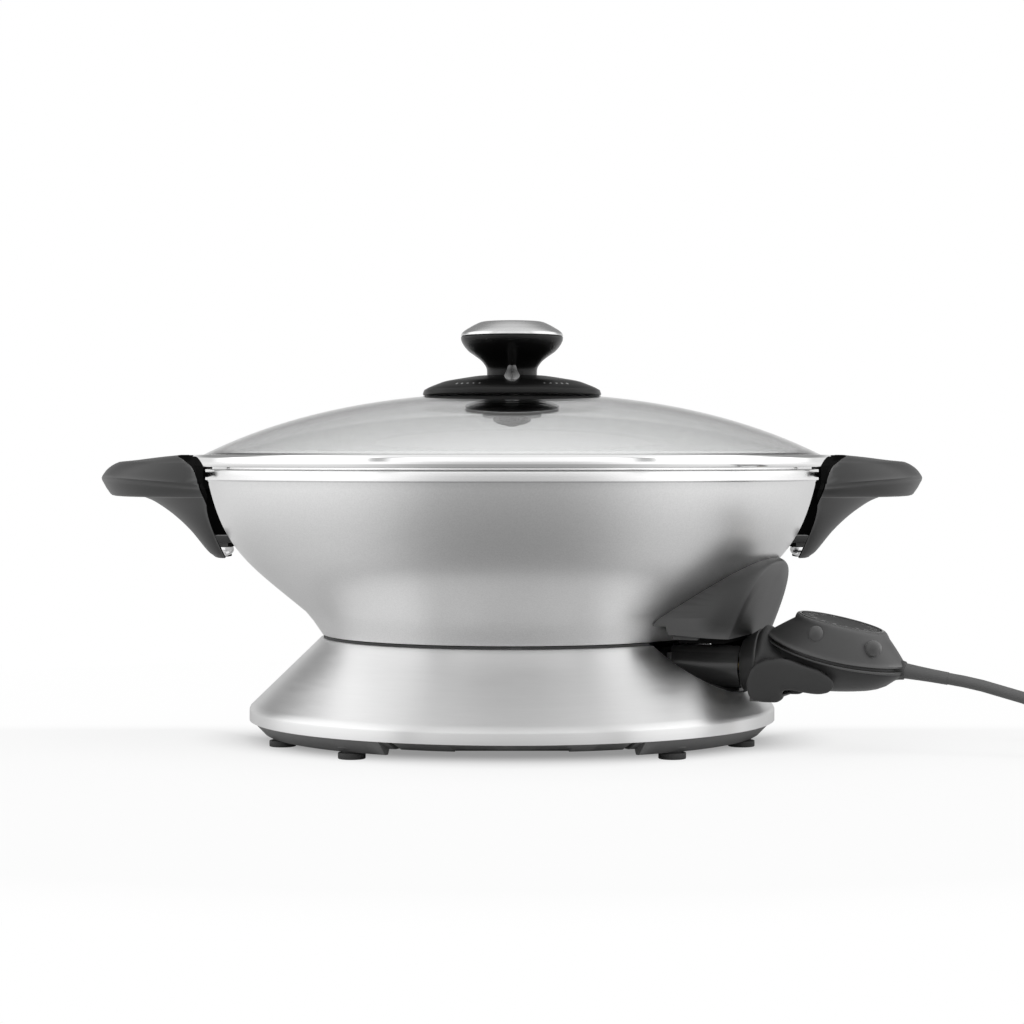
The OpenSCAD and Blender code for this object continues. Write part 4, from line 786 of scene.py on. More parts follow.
def make_skirt():
    """Thin steel skirt: an upright band, a crease, the cone with its notch, and a rolled seat."""
    edge = notch_edge(64)
    first, last = edge[0][0], edge[-1][0]
    plain = 200
    turns = [(a, z, 0 < i < len(edge) - 1) for i, (a, z) in enumerate(edge)]
    turns += [(last + (2 * math.pi - (last - first)) * k / plain, SKIRT_TOP_Z - 0.3, False) for k in range(1, plain)]
    start = math.radians(PROBE_TURN)
    columns = [[turned(r, start + a, z) for r, z in skirt_column(top_z, notch)] for a, top_z, notch in turns]
    n = len(columns[0])
    faces = [
        (k * n + i, (k + 1) % len(columns) * n + i, (k + 1) % len(columns) * n + i + 1, k * n + i + 1)
        for k in range(len(columns))
        for i in range(n - 1)
    ]
    skirt = build("skirt", [p for column in columns for p in column], faces)
    modify(skirt, "SOLIDIFY", thickness=SHEET_T * MM, offset=-1, use_even_offset=True)
    finish_piece(settle(skirt), "base", BRUSHED, "brushed_steel", "base_skirt")


def make_feet():
    """Rubber feet: one turned foot, set at each place by a node tree."""
    def grow(tree, given):
        both = add(tree, "GeometryNodeJoinGeometry")
        for radius, low, high in (("Foot radius", None, "Foot height"), ("Neck radius", "Foot height", "Neck height")):
            base = given[low] if low else 0.0
            depth = given[high] - base
            sizes = {"Vertices": 48, "Radius": given[radius], "Depth": depth}
            can = add(tree, "GeometryNodeMeshCylinder", sizes)["Mesh"]
            rise = combine(tree, 0.0, 0.0, depth * 0.5 + base)
            both.feed({0: add(tree, "GeometryNodeTransform", {"Geometry": can, "Translation": rise})[0]})
        return add(tree, "GeometryNodeInstanceOnPoints", {"Points": given["Geometry"], "Instance": both[0]})[0]

    sizes = {"Foot radius": FOOT_R * MM, "Foot height": 3.5 * MM, "Neck radius": 5.5 * MM, "Neck height": 6.4 * MM}
    places = [turned(FOOT_CIRCLE_R * MM, math.radians(turn), 0) for turn in (-51, -129, -20, -160, 55, 125)]
    feet = grown_piece("rubber_feet", sizes, RUBBER, grow, places)
    finish_piece(ease(feet, 0.6), "base", RUBBER, "foot_rubber", "base_feet")


def make_plate_wall():
    """The base plate's sloping rim under the steel band, open at the front where the paddle sits."""
    line = rounded([
        *near(SKIRT_R, BAND_LOW_Z, [(-1.9, -0.1), (-2.2, -0.8)]),
        *near(SKIRT_R, PLATE_LOW_Z, [(-8.6, -2.5, 1), (-9.6, -3, 0.6), (-12, -3), (-13.4, 0.2)]),
        (SKIRT_R - 4.4, BAND_LOW_Z - 0.1),
    ])
    count, gap = 160, 28.2
    turns = [math.radians(-90 + gap + (360 - 2 * gap) * k / count) for k in range(count + 1)]
    return loft("base_plate_wall", [[turned(p.x, t, p.y) for p in line] for t in turns])


def make_base():
    make_skirt()
    make_feet()
    plate = join(merged("base_plate", "base_plate_shell", 0.4), make_plate_wall())
    finish_piece(plate, "base", PLATE, "black_moulding", "base_plate")
    dress("notch_liner", "notch_lining", "base", GLOSS, "black_moulding", 0.2)
    dress("seat_gasket", "seat_seal", "base", RUBBER, "foot_rubber", 0.2)
    dress("release_paddle", "release_paddle_shell", "paddle", PLATE, "black_moulding", 0.5)


# ---------------------------------------------------------------- bowl

KNEE = Vector((FOOT_RING_R + 9.7, SEAT_Z + 13.2))
BAND_LOW = Vector((RIM_R - 2.6, RIM_Z - RIM_BAND_H))
KNEE_WAY = Vector((1, 0.83))
WALL = [KNEE, KNEE + 34.1 * KNEE_WAY, BAND_LOW - Vector((9.1, 40.1)), BAND_LOW]
BELLY = [Vector((0, BELLY_Z)), Vector((62, BELLY_Z)), KNEE - 20.2 * KNEE_WAY, KNEE]


def wall_line(count, gap):
    """The bowl's wall from knee to band, gap to its inner side."""
    return [bezier_offset(WALL, i / count, gap) for i in range(count + 1)]


def make_bowl():
    steps = 30
    outside = [
        *[bezier(BELLY, 0.78 * i / 16) for i in range(17)],
        *near(FOOT_RING_R, SEAT_Z, [(-6, 0), (0, 0, 0.7), (1, 1.6)]),
        *[KNEE - Vector(step) for step in ((8.7, 11.6), (6.5, 8.4), (4.3, 5.2))],
        *[bezier(WALL, i / steps) for i in range(steps)],
        (*BAND_LOW, 0.3), (RIM_R - 0.5, BAND_LOW.y + 0.5, 0.4), (RIM_R, RIM_Z, 1.0),
    ]
    rim_in_r = RIM_R - 4.6
    ledge = (RIM_R - 8.3, RIM_Z - 2.9)
    inside = [
        (rim_in_r, RIM_Z, 0.8), (rim_in_r, ledge[1], 0.4), (*ledge, 0.8),
        *wall_line(steps, BOWL_T)[-2::-1],
        *[bezier_offset(BELLY, i / 20, BOWL_T) for i in range(19, -1, -1)],
    ]
    inside[-1].x = 0
    bowl = lathe("bowl_casting", outside + inside, steps=224)

    ring_in, ring_out, ring_z = 53, 71, SOCKET_Z + 0.6
    ring = [(ring_in, ring_z, 1), (ring_out, ring_z, 1), (ring_out, BELLY_Z + 4), (ring_in, BELLY_Z + 2.5)]
    lug = rectangle(STUD_X - 8, STUD_X + 9, -10, 10, 0, 3, 3)
    bowl = join(
        bowl, lathe("element ring", ring),
        lathe("stud boss", rectangle(2.5, 8, BELLY_Z - 5, BELLY_Z + 1.6, 0, 1), steps=48),
        *[ease(slab("lug", lug, 4, turn @ Matrix.Translation((0, 0, LUG_Z + 2)) @ FLAT), 0.5)
          for turn in (Matrix(), HALF_TURN)],
        *[lathe("guard boss", rectangle(0, 4, 65.5, 78, 0, 0.6),
                PROBE @ Matrix.Translation((PROBE_X - 22, side * 34, 0)), steps=40)
          for side in (-1, 1)],
    )
    finish_piece(bowl, "bowl", SATIN, "bowl_casting", "wok_bowl")
    bowl.data.materials.append(POLISHED_BAND)
    bowl.data.materials.append(NONSTICK)
    for face in bowl.data.polygons:
        at = face.center / MM
        reach = math.hypot(at.x, at.y)
        on_lug = abs(at.z - LUG_Z - 2) < 4 and reach > STUD_X - 3
        if at.z > BAND_LOW.y + 0.1 and reach > rim_in_r - 0.9:
            face.material_index = 1
        elif on_lug or inner_side(reach, at.z) and face.normal.z > -0.2:
            face.material_index = 2


def inner_side(reach, z):
    """Whether a point lies on the bowl's inner side."""
    if reach > RIM_R - 1:
        return False
    for curve in (BELLY, WALL):
        line = [bezier_offset(curve, i / 24, BOWL_T / 2) for i in range(25)]
        for a, b in zip(line, line[1:]):
            if a.x <= reach <= b.x:
                return z > a.y + (b.y - a.y) * (reach - a.x) / max(b.x - a.x, 1e-6)
    return z > KNEE.y


# ---------------------------------------------------------------- handles

# The line where a wing's grip ends and its painted shade begins, as (x, z) points from above its top downwards.
PAINTED_SHADE_LINE = near(HANDLE_IN_R, HANDLE_TOP_Z, [
    (-0.3, 2), (-1.4, -0.2), (-6.8, -2.6), (-11.3, -6), (-14.6, -10.4), (-16.6, -15.6), (-18.2, -22), (-19.3, -29),
    (-20.2, -34),
])


def painted_shade_edge(z):
    """Where the split between a wing's grip and its painted shade stands at a height, seen from the front."""
    for (x, high), (far, low) in zip(PAINTED_SHADE_LINE, PAINTED_SHADE_LINE[1:]):
        if low <= z <= high:
            return x + (far - x) * (high - z) / (high - low)
    return 0


def under_rim(z):
    """How far a wing's inner face has leant in at a height, as the bowl's wall does."""
    return 0.476 * max(0, RIM_Z - 5.6 - z)


def wing_ring(z, tip, half):
    """One level of a wing: an oval from the inner arc round the tip, then back along the inner arc."""
    inner = HANDLE_IN_R if z > RIM_Z - 6.1 else HANDLE_IN_R - 2.3 - under_rim(z)
    root = math.sqrt(inner * inner - half * half)
    turn = math.asin(half / inner)
    outer, back = 56, 20
    above = (HANDLE_TOP_Z - 4 - z) / (HANDLE_TOP_Z - 4 - HANDLE_CREASE_Z)
    below = (z - KEEL_Z - 36) / (HANDLE_CREASE_Z - KEEL_Z - 36)
    sway = 5.2 * max(0, min(1, above, below))
    ring = []
    for i in range(outer + 1):
        t = math.pi * (i / outer - 0.5)
        drop = sway * (0.42 - math.cos(t))
        ring.append((root + (tip - root) * math.cos(t), half * math.sin(t), z - drop))
    return ring + [turned(inner, turn - 2 * turn * i / back, z) for i in range(1, back)]


def wing(name, turn):
    """A wing handle: a keel that sweeps out into a wide grip with a sharp outer crease, and a split where its painted
    shade begins.
    """
    k, c, t = KEEL_Z, HANDLE_CREASE_Z, HANDLE_TOP_Z
    keel = [
        (k + 0.4, -65.4, 0.245), (k + 1.4, -64.2, 0.265), (k + 3, -62, 0.29), (k + 6.4, -59, 0.33),
        (k + 15, -52.2, 0.44), (k + 22, -45.3, 0.56), (k + 27.6, -38.5, 0.68), (k + 32.6, -31, 0.81),
        (k + 35.2, -25, 0.88),
    ]
    lip = [(k + 35.4, -22, 0.885), (k + 35.8, -8, 0.91), (k + 38, -4, 0.95), (c - 0.5, -0.6, 1)]
    brow = [
        (c + 0.4, -0.35, 1), (c + 2.4, -0.9, 0.995), (t - 9.5, -3.6, 0.975), (t - 6, -7.2, 0.955), (t - 4, -10.6, 0.94),
    ]
    crown = [
        (t - 3.7, -12.6, 0.935), (t - 2.9, -20.9, 0.92), (t - 1.2, -34.8, 0.87), (t - 0.2, -45.5, 0.79), (t, -48, 0.76),
    ]
    levels = [(k, HANDLE_REACH - 66.6, 0.225 * HANDLE_HALF_W)]
    for rows, steps in ((keel, 4), (lip, 4), (brow, 3), (crown, 3)):
        levels += smooth_line([(z, HANDLE_REACH + step, share * HANDLE_HALF_W) for z, step, share in rows], steps)
    handle = loft(name, [wing_ring(*level) for level in levels], sharp=40)
    seam = PAINTED_SHADE_LINE + [(x - 0.7, z) for x, z in reversed(PAINTED_SHADE_LINE)]
    cut(
        handle,
        slab("lug room", rectangle(STUD_X - 20, STUD_X + 9.1, -10.1, 10.1), 4.1,
             Matrix.Translation((0, 0, LUG_Z + 2)) @ FLAT),
        lathe("nut room", rectangle(0, NUT_R + 1, KEEL_Z - 5, NUT_TOP_Z), Matrix.Translation((STUD_X, 0, 0)), steps=48),
        lathe("wall room", [(0, 80), *wall_line(16, -0.5), (0, RIM_Z)], steps=160),
        slab("painted shade split", seam, 200), sharp=40,
    )
    tongue = rectangle(STUD_X - 5, STUD_X + 7, -9, 9, 2, 0, 0, 2)
    join(handle, slab("tongue", tongue, 2.3, Matrix.Translation((0, 0, NUT_TOP_Z + 1.2)) @ FLAT))
    handle.data.transform(turn)
    return handle


def make_saddle(name, turn):
    """The dark seat between the rim and a wing: a low sector under the lid's ring, and a wider lip outside it."""
    def sector(half, section):
        turns = [math.radians(half * (k / 20 - 1)) for k in range(41)]
        return loft(name, [[turned(r, t, z) for r, z in section(abs(t))] for t in turns], turn)

    def lip(t):
        end = math.radians(23) - t
        top = HANDLE_TOP_Z - 0.6 - 5.2 * max(0, 1 - end / math.radians(6)) ** 2
        return [*near(0, RIM_Z, [(RING_R + 0.7, -9), (HANDLE_IN_R + 0.4, -9)]),
                (HANDLE_IN_R + 0.4, top), (RING_R + 0.7, top - 0.3)]

    def seat(t):
        low = RIM_Z - 11
        return [(RIM_R - 1.4, low), (HANDLE_IN_R - 2, low), (HANDLE_IN_R - 2, RING_LOW_Z - 0.5),
                (RIM_R + 0.5, RING_LOW_Z - 0.5), *near(RIM_R, RIM_Z, [(0.5, -6.6), (-1.4, -7)])]

    return join(sector(23, lip), sector(14.8, seat))


def make_handles():
    for side, turn in (("right", Matrix()), ("left", HALF_TURN)):
        handle = wing(f"wing_handle_{side}", turn)
        finish_piece(handle, "bowl", HANDLE, "handle_phenolic", f"handle_{side}")
        handle.data.materials.append(FLAT_BLACK_AND_PAINTED_SHADE)
        # Faces that turn to the bowl, and grip faces inward of the split, take flat black: painted shade in the gap
        # between wing and bowl.
        for face in handle.data.polygons:
            at = face.center / MM
            near_wall = math.hypot(at.x, at.y) < HANDLE_IN_R + 0.4 - under_rim(at.z)
            inner_face = near_wall and face.normal.x * at.x + face.normal.y * at.y < 0
            if inner_face or abs(at.x) < painted_shade_edge(at.z) - 0.1:
                face.material_index = 1
        saddle = make_saddle(f"saddle_{side}", turn)
        finish_piece(saddle, "bowl", FLAT_BLACK_AND_PAINTED_SHADE, "gloss_moulding", f"rim_saddle_{side}")
        # The metal doesn't mirror these two, as in the photographed studio
        handle.visible_glossy = saddle.visible_glossy = False
    angles = [math.radians(9 * k) for k in range(1, 11)]
    dome = [(NUT_R * math.cos(a), NUT_TOP_Z - 1.6 - 3.8 * math.sin(a)) for a in angles]
    dome[-1] = (0, dome[-1][1])
    nut = [(0, NUT_TOP_Z), (NUT_R - 0.3, NUT_TOP_Z, 0.3), (NUT_R, NUT_TOP_Z - 1.6), *dome]
    place = Matrix.Translation((STUD_X, 0, 0))
    nuts = join(*[lathe("cap_nut_pair", nut, turn @ place, steps=64) for turn in (Matrix(), HALF_TURN)])
    finish_piece(nuts, "bowl", CHROME, "polished_steel", "cap_nuts")


# ---------------------------------------------------------------- heat guard and socket

def guard_ring(x, w, h, inside, count=48):
    """An arch that leans outwards as it rises, as one closed ring with its foot at the guard's low edge."""
    low = 0 if inside == 0 else -3
    ring = []
    for i in range(count + 1):
        t = math.pi * i / count
        up = low + (h - inside - low) * math.sin(t) ** 0.77
        across = math.copysign(abs(math.cos(t)) ** 0.77, math.cos(t))
        ring.append((x - 1.1 * inside + up * math.tan(math.radians(GUARD_LEAN)), (w - inside) * across, GUARD_Z + up))
    return ring


def make_guard():
    """The visor over the probe: an arched shell that flares towards the bowl, with a soft edge round its end wall."""
    steps = [
        (-52, 11, 5.6), (-15, 9.5, 5), (-9, 7.2, 4.2), (-5, 5, 3), (-2.6, 3.1, 2), (-1.2, 1.7, 1.15),
        (-0.4, 0.6, 0.45), (0, -0.8, -0.7),
    ]
    arches = [(GUARD_X + x, GUARD_HALF_W + wide, GUARD_H + tall) for x, wide, tall in steps]
    end_wall = [(GUARD_X + x, GUARD_HALF_W * share, GUARD_H * share) for x, share in ((0.25, 0.8), (0.3, 0.4))]
    shell = loft("guard_visor", [guard_ring(*arch, 0) for arch in arches + end_wall], PROBE, sharp=50)
    inner_end = [
        (60, 50), (GUARD_X + 20, 50), *near(GUARD_X, GUARD_Z, [(20, 1), (0, 1.2), (-31, 3.6), (-32.5, 8)]),
        (60, GUARD_Z + 10),
    ]
    casting = [(0, SEAT_Z - 3), (FOOT_RING_R + 0.2, SEAT_Z - 3), *wall_line(24, -0.15), (0, RIM_Z)]
    cut(
        shell, loft("guard room", [guard_ring(*arch, GUARD_T) for arch in arches], PROBE),
        lathe("casting room", casting, steps=224), slab("inner end", inner_end, 140, PROBE), sharp=50,
    )
    tab = rectangle(PROBE_X - 29, PROBE_X - 15, -7, 7)
    return join(shell, *[
        ease(slab("tab", tab, 2.2, PROBE @ Matrix.Translation((0, side * 39, GUARD_Z + 1.2)) @ FLAT), 0.4)
        for side in (-1, 1)
    ])


def make_socket():
    finish_piece(make_guard(), "bowl", GUARD_BLACK, "black_moulding", "heat_guard")
    dress("socket_shroud", "shroud_tube", "bowl", SHROUD, "gloss_moulding", 0.5)
    plate = merged("socket_backplate", "socket_plate", 0.4)
    # Flat black blocks under the guard over the tube, and beside the tube on the far side: painted shade filling gaps,
    # not parts of the wok.
    saddle = slab("painted shade filler over tube", rectangle(PROBE_X - 27, PROBE_X - 1.2, GUARD_Z - 1.8, GUARD_Z + 4), 84, PROBE)
    block = slab(
        "painted shade filler beside tube", rectangle(PROBE_X - 25, PROBE_X - 1.4, GUARD_Z - 7.5, GUARD_Z, 1, 1), 23,
        PROBE @ Matrix.Translation((0, 29, 0)),
    )
    plate = join(plate, ease(saddle, 0.4), ease(block, 0.4))
    finish_piece(plate, "bowl", FLAT_BLACK_AND_PAINTED_SHADE, "gloss_moulding", "socket_backplate")


# ---------------------------------------------------------------- lid

def dome_at(r):
    share = r / GLASS_R
    return DOME_Z - DOME_DROP * share ** 2 - DOME_TURN * share ** 4


def make_glass():
    """The glass dome: a grid whose rows run out along the top and back below, turned by the dome's own formula."""
    def grow(tree, given):
        sizes = {"Size X": 1.0, "Size Y": 1.0, "Vertices X": given["Around"], "Vertices Y": given["Rows"]}
        grid = add(tree, "GeometryNodeMeshGrid", sizes)["Mesh"]
        where = split(add(tree, "GeometryNodeInputPosition")[0])
        turn = where[0] * (2 * math.pi)
        rows = given["Rows"] - 1.0
        along = calc("ROUND", (where[1] + 0.5) * rows)
        half = (rows - 1.0) / 2.0
        one_way = calc("FLOOR", half)
        share = calc("MINIMUM", calc("MINIMUM", along / one_way, (rows - 1.0 - along) / one_way), 1.0)
        r = between(
            calc("MAXIMUM", share, 0.0), 0.0, 1.0, given["Hole radius"], given["Outer radius"], kind="LINEAR"
        )
        below = calc("GREATER_THAN", along, half) * calc("LESS_THAN", along, rows - 0.5)
        ratio = (r / given["Outer radius"]) ** 2.0
        fall = ratio * given["Drop"] + ratio ** 2.0 * given["Turn"] + below * given["Thickness"]
        place = combine(tree, r * calc("COSINE", turn), r * calc("SINE", turn), given["Top"] - fall)
        shaped = add(tree, "GeometryNodeSetPosition", {"Geometry": grid, "Position": place})[0]
        return add(tree, "GeometryNodeMergeByDistance", {"Geometry": shaped, "Distance": 1e-6})[0]

    sizes = {
        "Hole radius": GLASS_HOLE_R * MM, "Outer radius": GLASS_R * MM, "Top": DOME_Z * MM, "Drop": DOME_DROP * MM,
        "Turn": DOME_TURN * MM, "Thickness": GLASS_T * MM, "Around": 225, "Rows": 84,
    }
    glass = grown_piece("glass_dome", sizes, GLASS, grow)
    edit(glass.data, face_outwards)
    finish_piece(glass, "lid", GLASS, "clear_glass", "lid_glass")


def make_lid():
    make_glass()
    top = RING_LOW_Z + RING_H
    under = dome_at(GLASS_R) - GLASS_T - 0.12
    ledge_z = RIM_Z - 2.6
    ring = lathe("lid_ring", [
        (RIM_R - 5.2, ledge_z, 0.4), (RIM_R - 5.2, RING_LOW_Z, 0.3),
        *near(RING_R, RING_LOW_Z, [(-0.9, 0, 0.6), (0, 1.6, 1.5)]),
        *near(RING_R, top, [(0, -1.6, 1.5), (-1.3, 0, 1.0)]),
        *near(GLASS_R, top, [(1.6, 0.15, 0.5), (0.05, -0.1)]), (GLASS_R + 0.05, under),
        (RIM_R - 7.3, dome_at(RIM_R - 7.3) - GLASS_T - 0.12), (RIM_R - 7.7, RING_LOW_Z), (RIM_R - 7.7, ledge_z, 0.4),
    ], steps=256)
    finish_piece(ring, "lid", POLISHED, "polished_steel", "lid_rim")
    make_collar()
    make_cup()
    dress("lid_washer", "glass_washer", "lid", RUBBER, "foot_rubber", 0.3)
    dress("collar_gasket", "collar_seal", "lid", RUBBER, "foot_rubber", 0.2)
    make_vent_marks()


COLLAR_LOW_Z = dome_at(COLLAR_R) + 0.4
CUP_Z = dome_at(0) - CUP_DROP


def make_collar():
    hub = GLASS_HOLE_R - 2.8
    brow = smooth_line([
        *near(COLLAR_R, COLLAR_LOW_Z, [(-0.9, 3.3), (-4, 5), (-8.4, 6.8), (-13.3, 8.5)]),
        (COLLAR_R - 20.3, COLLAR_Z - 1.8), (NECK_R + 5.5, COLLAR_Z), (NECK_R + 1.4, COLLAR_Z),
    ])
    collar = lathe("steam_collar", [
        (hub - 2.6, dome_at(0) - 10.8), (hub, dome_at(0) - 10.8), (hub, dome_at(hub) + 0.8),
        (GLASS_HOLE_R + 2.4, dome_at(GLASS_HOLE_R) + 0.8), (38, dome_at(38) + 4.2),
        (COLLAR_R - 3, dome_at(COLLAR_R - 3) + 1.4),
        *near(COLLAR_R, COLLAR_LOW_Z, [(-1.5, 0), (0, 0.6, 0.8)]), *brow,
        *near(NECK_R + 1.1, COLLAR_Z, [(0, -0.4), (0, -3)]), (hub - 2.6, COLLAR_Z - 3),
    ], steps=160)
    finish_piece(collar, "lid", COLLAR_BLACK, "gloss_moulding", "vent_collar")


def make_cup():
    """The steam cup under the glass, with a ring of fine ridges."""
    seat_z = dome_at(17) - GLASS_T + 0.2
    cup = lathe("steam_cup", [
        *near(0, CUP_Z, [
            (3.4, 0), (5.6, 0.1), (8.4, 0.9), (10.2, 2), (10.6, 2.8), (10.6, 4.1), (10.2, 4.5), (16.2, 4.6, 0.3),
            (17.2, 5.3, 0.4), (17.2, 7.2, 0.3), (16.5, 7.7, 0.2), (16.5, 8.3, 0.2), (17.2, 8.8, 0.3),
        ]),
        (17.2, seat_z), (15.2, seat_z), *near(0, CUP_Z, [(15.2, 5.6), (10, 5.4), (10, 1.8), (3.4, 1.6)]),
    ], steps=120)
    ridge = [(0, -1.3), (0.5, -1.0), (0.75, 0), (0.5, 1.0), (0, 1.3)]
    places = [turned(10.2, 2 * math.pi * k / 24, CUP_Z + 3.2) for k in range(24)]
    join(cup, *[lathe("ridge", ridge, Matrix.Translation(place), steps=10) for place in places])
    finish_piece(cup, "lid", VENT_METAL, "vent_metal", "vent_cup")


def make_vent_marks():
    """Plain raised dots on the collar, either side of the pointer, that show how far the vent is open."""
    dots = []
    for side in (-1, 1):
        for k in range(5):
            turn = math.radians(-90 + side * (24 + 5 * k))
            size = 0.45 + 0.12 * k
            place = Matrix.Translation(turned(COLLAR_R - 7, turn, COLLAR_LOW_Z + 6.15))
            lean = Matrix.Rotation(turn, 4, "Z") @ Matrix.Rotation(math.radians(22), 4, "Y")
            dot = [(0, 0.35), (size * 0.8, 0.32), (size, 0.1), (size, -0.4), (0, -0.4)]
            dots.append(lathe("vent_marks", dot, place @ lean, steps=20))
    finish_piece(join(*dots), "lid", POINTER, "pointer_grey")


# ---------------------------------------------------------------- knob

def make_knob():
    side = smooth_line([
        *near(NECK_R, COLLAR_Z, [
            (0, -1.9), (0, 1.5), (0.1, 3.6), (0.6, 5.2), (1.7, 6.9), (3.2, 8.7), (5.3, 10.4),
        ]),
        *near(KNOB_R, COLLAR_Z, [
            (-7.3, 12.2), (-4.9, 13.9), (-3.2, 15.6), (-1.8, 17.4), (-0.8, 19.1), (-0.1, 20.9),
        ]),
        (KNOB_R, CAP_Z - 0.3),
    ])
    grip = lathe(
        "knob_grip", [(0, COLLAR_Z - 1.9), *side, (KNOB_R - 1, CAP_Z - 0.05), (0, CAP_Z - 0.05)], steps=160, sharp=40
    )
    finish_piece(grip, "knob", GLOSS, "gloss_moulding", "lid_knob")
    top = CAP_Z + CAP_H
    crown = smooth_line([
        *near(KNOB_R, CAP_Z, [(-0.15, 1.0), (-0.6, 2.0), (-2.2, 3.4), (-4.6, 4.9), (-7.6, 6.6), (-11.9, 8.4)]),
        (KNOB_R - 17, top), (0, top),
    ], 5)
    cap = lathe("knob_top", [
        (0, CAP_Z + 0.02), (KNOB_R - 0.5, CAP_Z + 0.02, 0.3), (KNOB_R, CAP_Z + 0.4, 0.3),
        *[(p.x, min(p.y, top)) for p in crown],
    ], steps=160, sharp=40)
    finish_piece(cap, "knob", CAP_METAL, "polished_steel", "knob_cap")
    spindle = lathe("knob_spindle_and_shutter", [
        *near(0, CUP_Z, [
            (0, -0.9), (2, -0.8), (4.2, -0.2), (4.2, -0.05), (3.1, -0.05), (3.1, 2), (9.7, 2, 0.2), (9.7, 3.5, 0.2),
            (3, 3.6),
        ]),
        *near(0, CAP_Z, [(3, -5), (6, -5), (6, -2), (0, -2)]),
    ], steps=64)
    finish_piece(spindle, "knob", VENT_METAL, "polished_steel", "knob_spindle", "vent_shutter")
    make_pointer()


def make_pointer():
    """A leaf-shaped pointer with a groove down its middle, from the knob's neck down over the collar."""
    spine = smooth_line([
        *near(NECK_R, COLLAR_Z, [(0.45, 8.4), (0.65, 5.8), (2.0, 3.0), (6, 1.5)]), (COLLAR_R - 20.3, COLLAR_Z - 0.4),
        *near(COLLAR_R, COLLAR_LOW_Z, [(-13.3, 9.8), (-9.4, 8.3)]),
    ], 6)
    section = [
        (-1, -0.6), (-0.96, -0.1), (-0.6, 0.25), (-0.14, 0.2), (0, -0.22), (0.14, 0.2), (0.6, 0.25), (0.96, -0.1),
        (1, -0.6), (0.9, -1.1), (-0.9, -1.1),
    ]
    last = len(spine) - 1
    rings = []
    for i, at in enumerate(spine):
        way = (spine[min(i + 1, last)] - spine[max(i - 1, 0)]).normalized()
        up = Vector((-way.y, way.x))
        share = i / last
        half = 5.6 * (0.06 + share) ** 0.62 * (1 - max(0, share - 0.62) / 0.40) ** 0.45
        points = [(at + up * height, across) for across, height in section]
        rings.append([(p.x, half * across, p.y) for p, across in points])
    pointer = loft("vent_pointer", rings, Matrix.Rotation(math.radians(-90), 4, "Z"), sharp=40)
    finish_piece(pointer, "knob", POINTER, "pointer_grey", "knob_pointer")


# ---------------------------------------------------------------- probe

def seam_at(x):
    d = x - HOUSING_X + HOUSING_A
    return SOCKET_Z + 19.3 - 0.394 * d + 0.00213 * d * d


def oval(x, a, b, height, count=96):
    """An oval ring of points round (x, 0), each at the height that a function of its x gives."""
    turns = [2 * math.pi * i / count for i in range(count)]
    return [(x + a * math.cos(t), b * math.sin(t), height(x + a * math.cos(t))) for t in turns]


def seam_ring(x, a, b, drop):
    return oval(x, a, b, lambda at: seam_at(at) - drop)


def face_ring(x, a, b, drop):
    return oval(x, a, b, lambda at: DIAL_Z - (at - DIAL_X) * math.tan(math.radians(DIAL_TILT)) - drop)


def ring_between(low, high, share, swell=0.012):
    """A ring part of the way from one ring to another, swollen outwards by a share of its size."""
    middle = sum((Vector(p) for p in low + high), Vector()) / (2 * len(low))
    grown = 1 + swell * 4 * share * (1 - share)
    points = [Vector(a).lerp(Vector(b), share) for a, b in zip(low, high)]
    return [(middle.x + (p.x - middle.x) * grown, p.y * grown, p.z) for p in points]


def tube_loft(name, stations, count=72):
    """A skin over circles that stand across the probe's way, given as (x, z, radius)."""
    turns = [2 * math.pi * i / count for i in range(count)]
    return loft(name, [[(x, r * math.cos(t), z + r * math.sin(t)) for t in turns] for x, z, r in stations], PROBE)


RELIEF_WAY = Vector(RELIEF_END) - Vector(RELIEF_START)
RELIEF = (
    PROBE @ Matrix.Translation(RELIEF_START)
    @ Matrix.Rotation(math.radians(90) + math.atan2(-RELIEF_WAY.z, RELIEF_WAY.x), 4, "Y")
)


def make_cover():
    seam = seam_ring(HOUSING_X + 0.1, HOUSING_A, HOUSING_B, -1.2)
    brow = face_ring(DIAL_X + 0.4, 26, 27, 3.4)
    foot = [(0.9, -0.05), (0.25, -0.3)]
    rings = [seam_ring(HOUSING_X, HOUSING_A - step, HOUSING_B - step, drop) for step, drop in foot]
    rings += [seam, *[ring_between(seam, brow, k / 8) for k in range(1, 8)], brow]
    lips = [(0.3, 25.5, 26.5, 2.1), (0.2, 24.9, 25.9, 0.9), (0.1, 24.2, 25.2, 0.15), (0, 23.6, 24.6, 0)]
    rings += [face_ring(DIAL_X + x, a, b, drop) for x, a, b, drop in lips]
    cover = loft("housing_cover", rings, PROBE, sharp=40)
    cut(cover, lathe("dial seat", rectangle(0, 24, -DIAL_T - 0.4, 9), DIAL, steps=96), sharp=40)
    finish_piece(cover, "probe", COVER, "grey_moulding", "probe_cover")


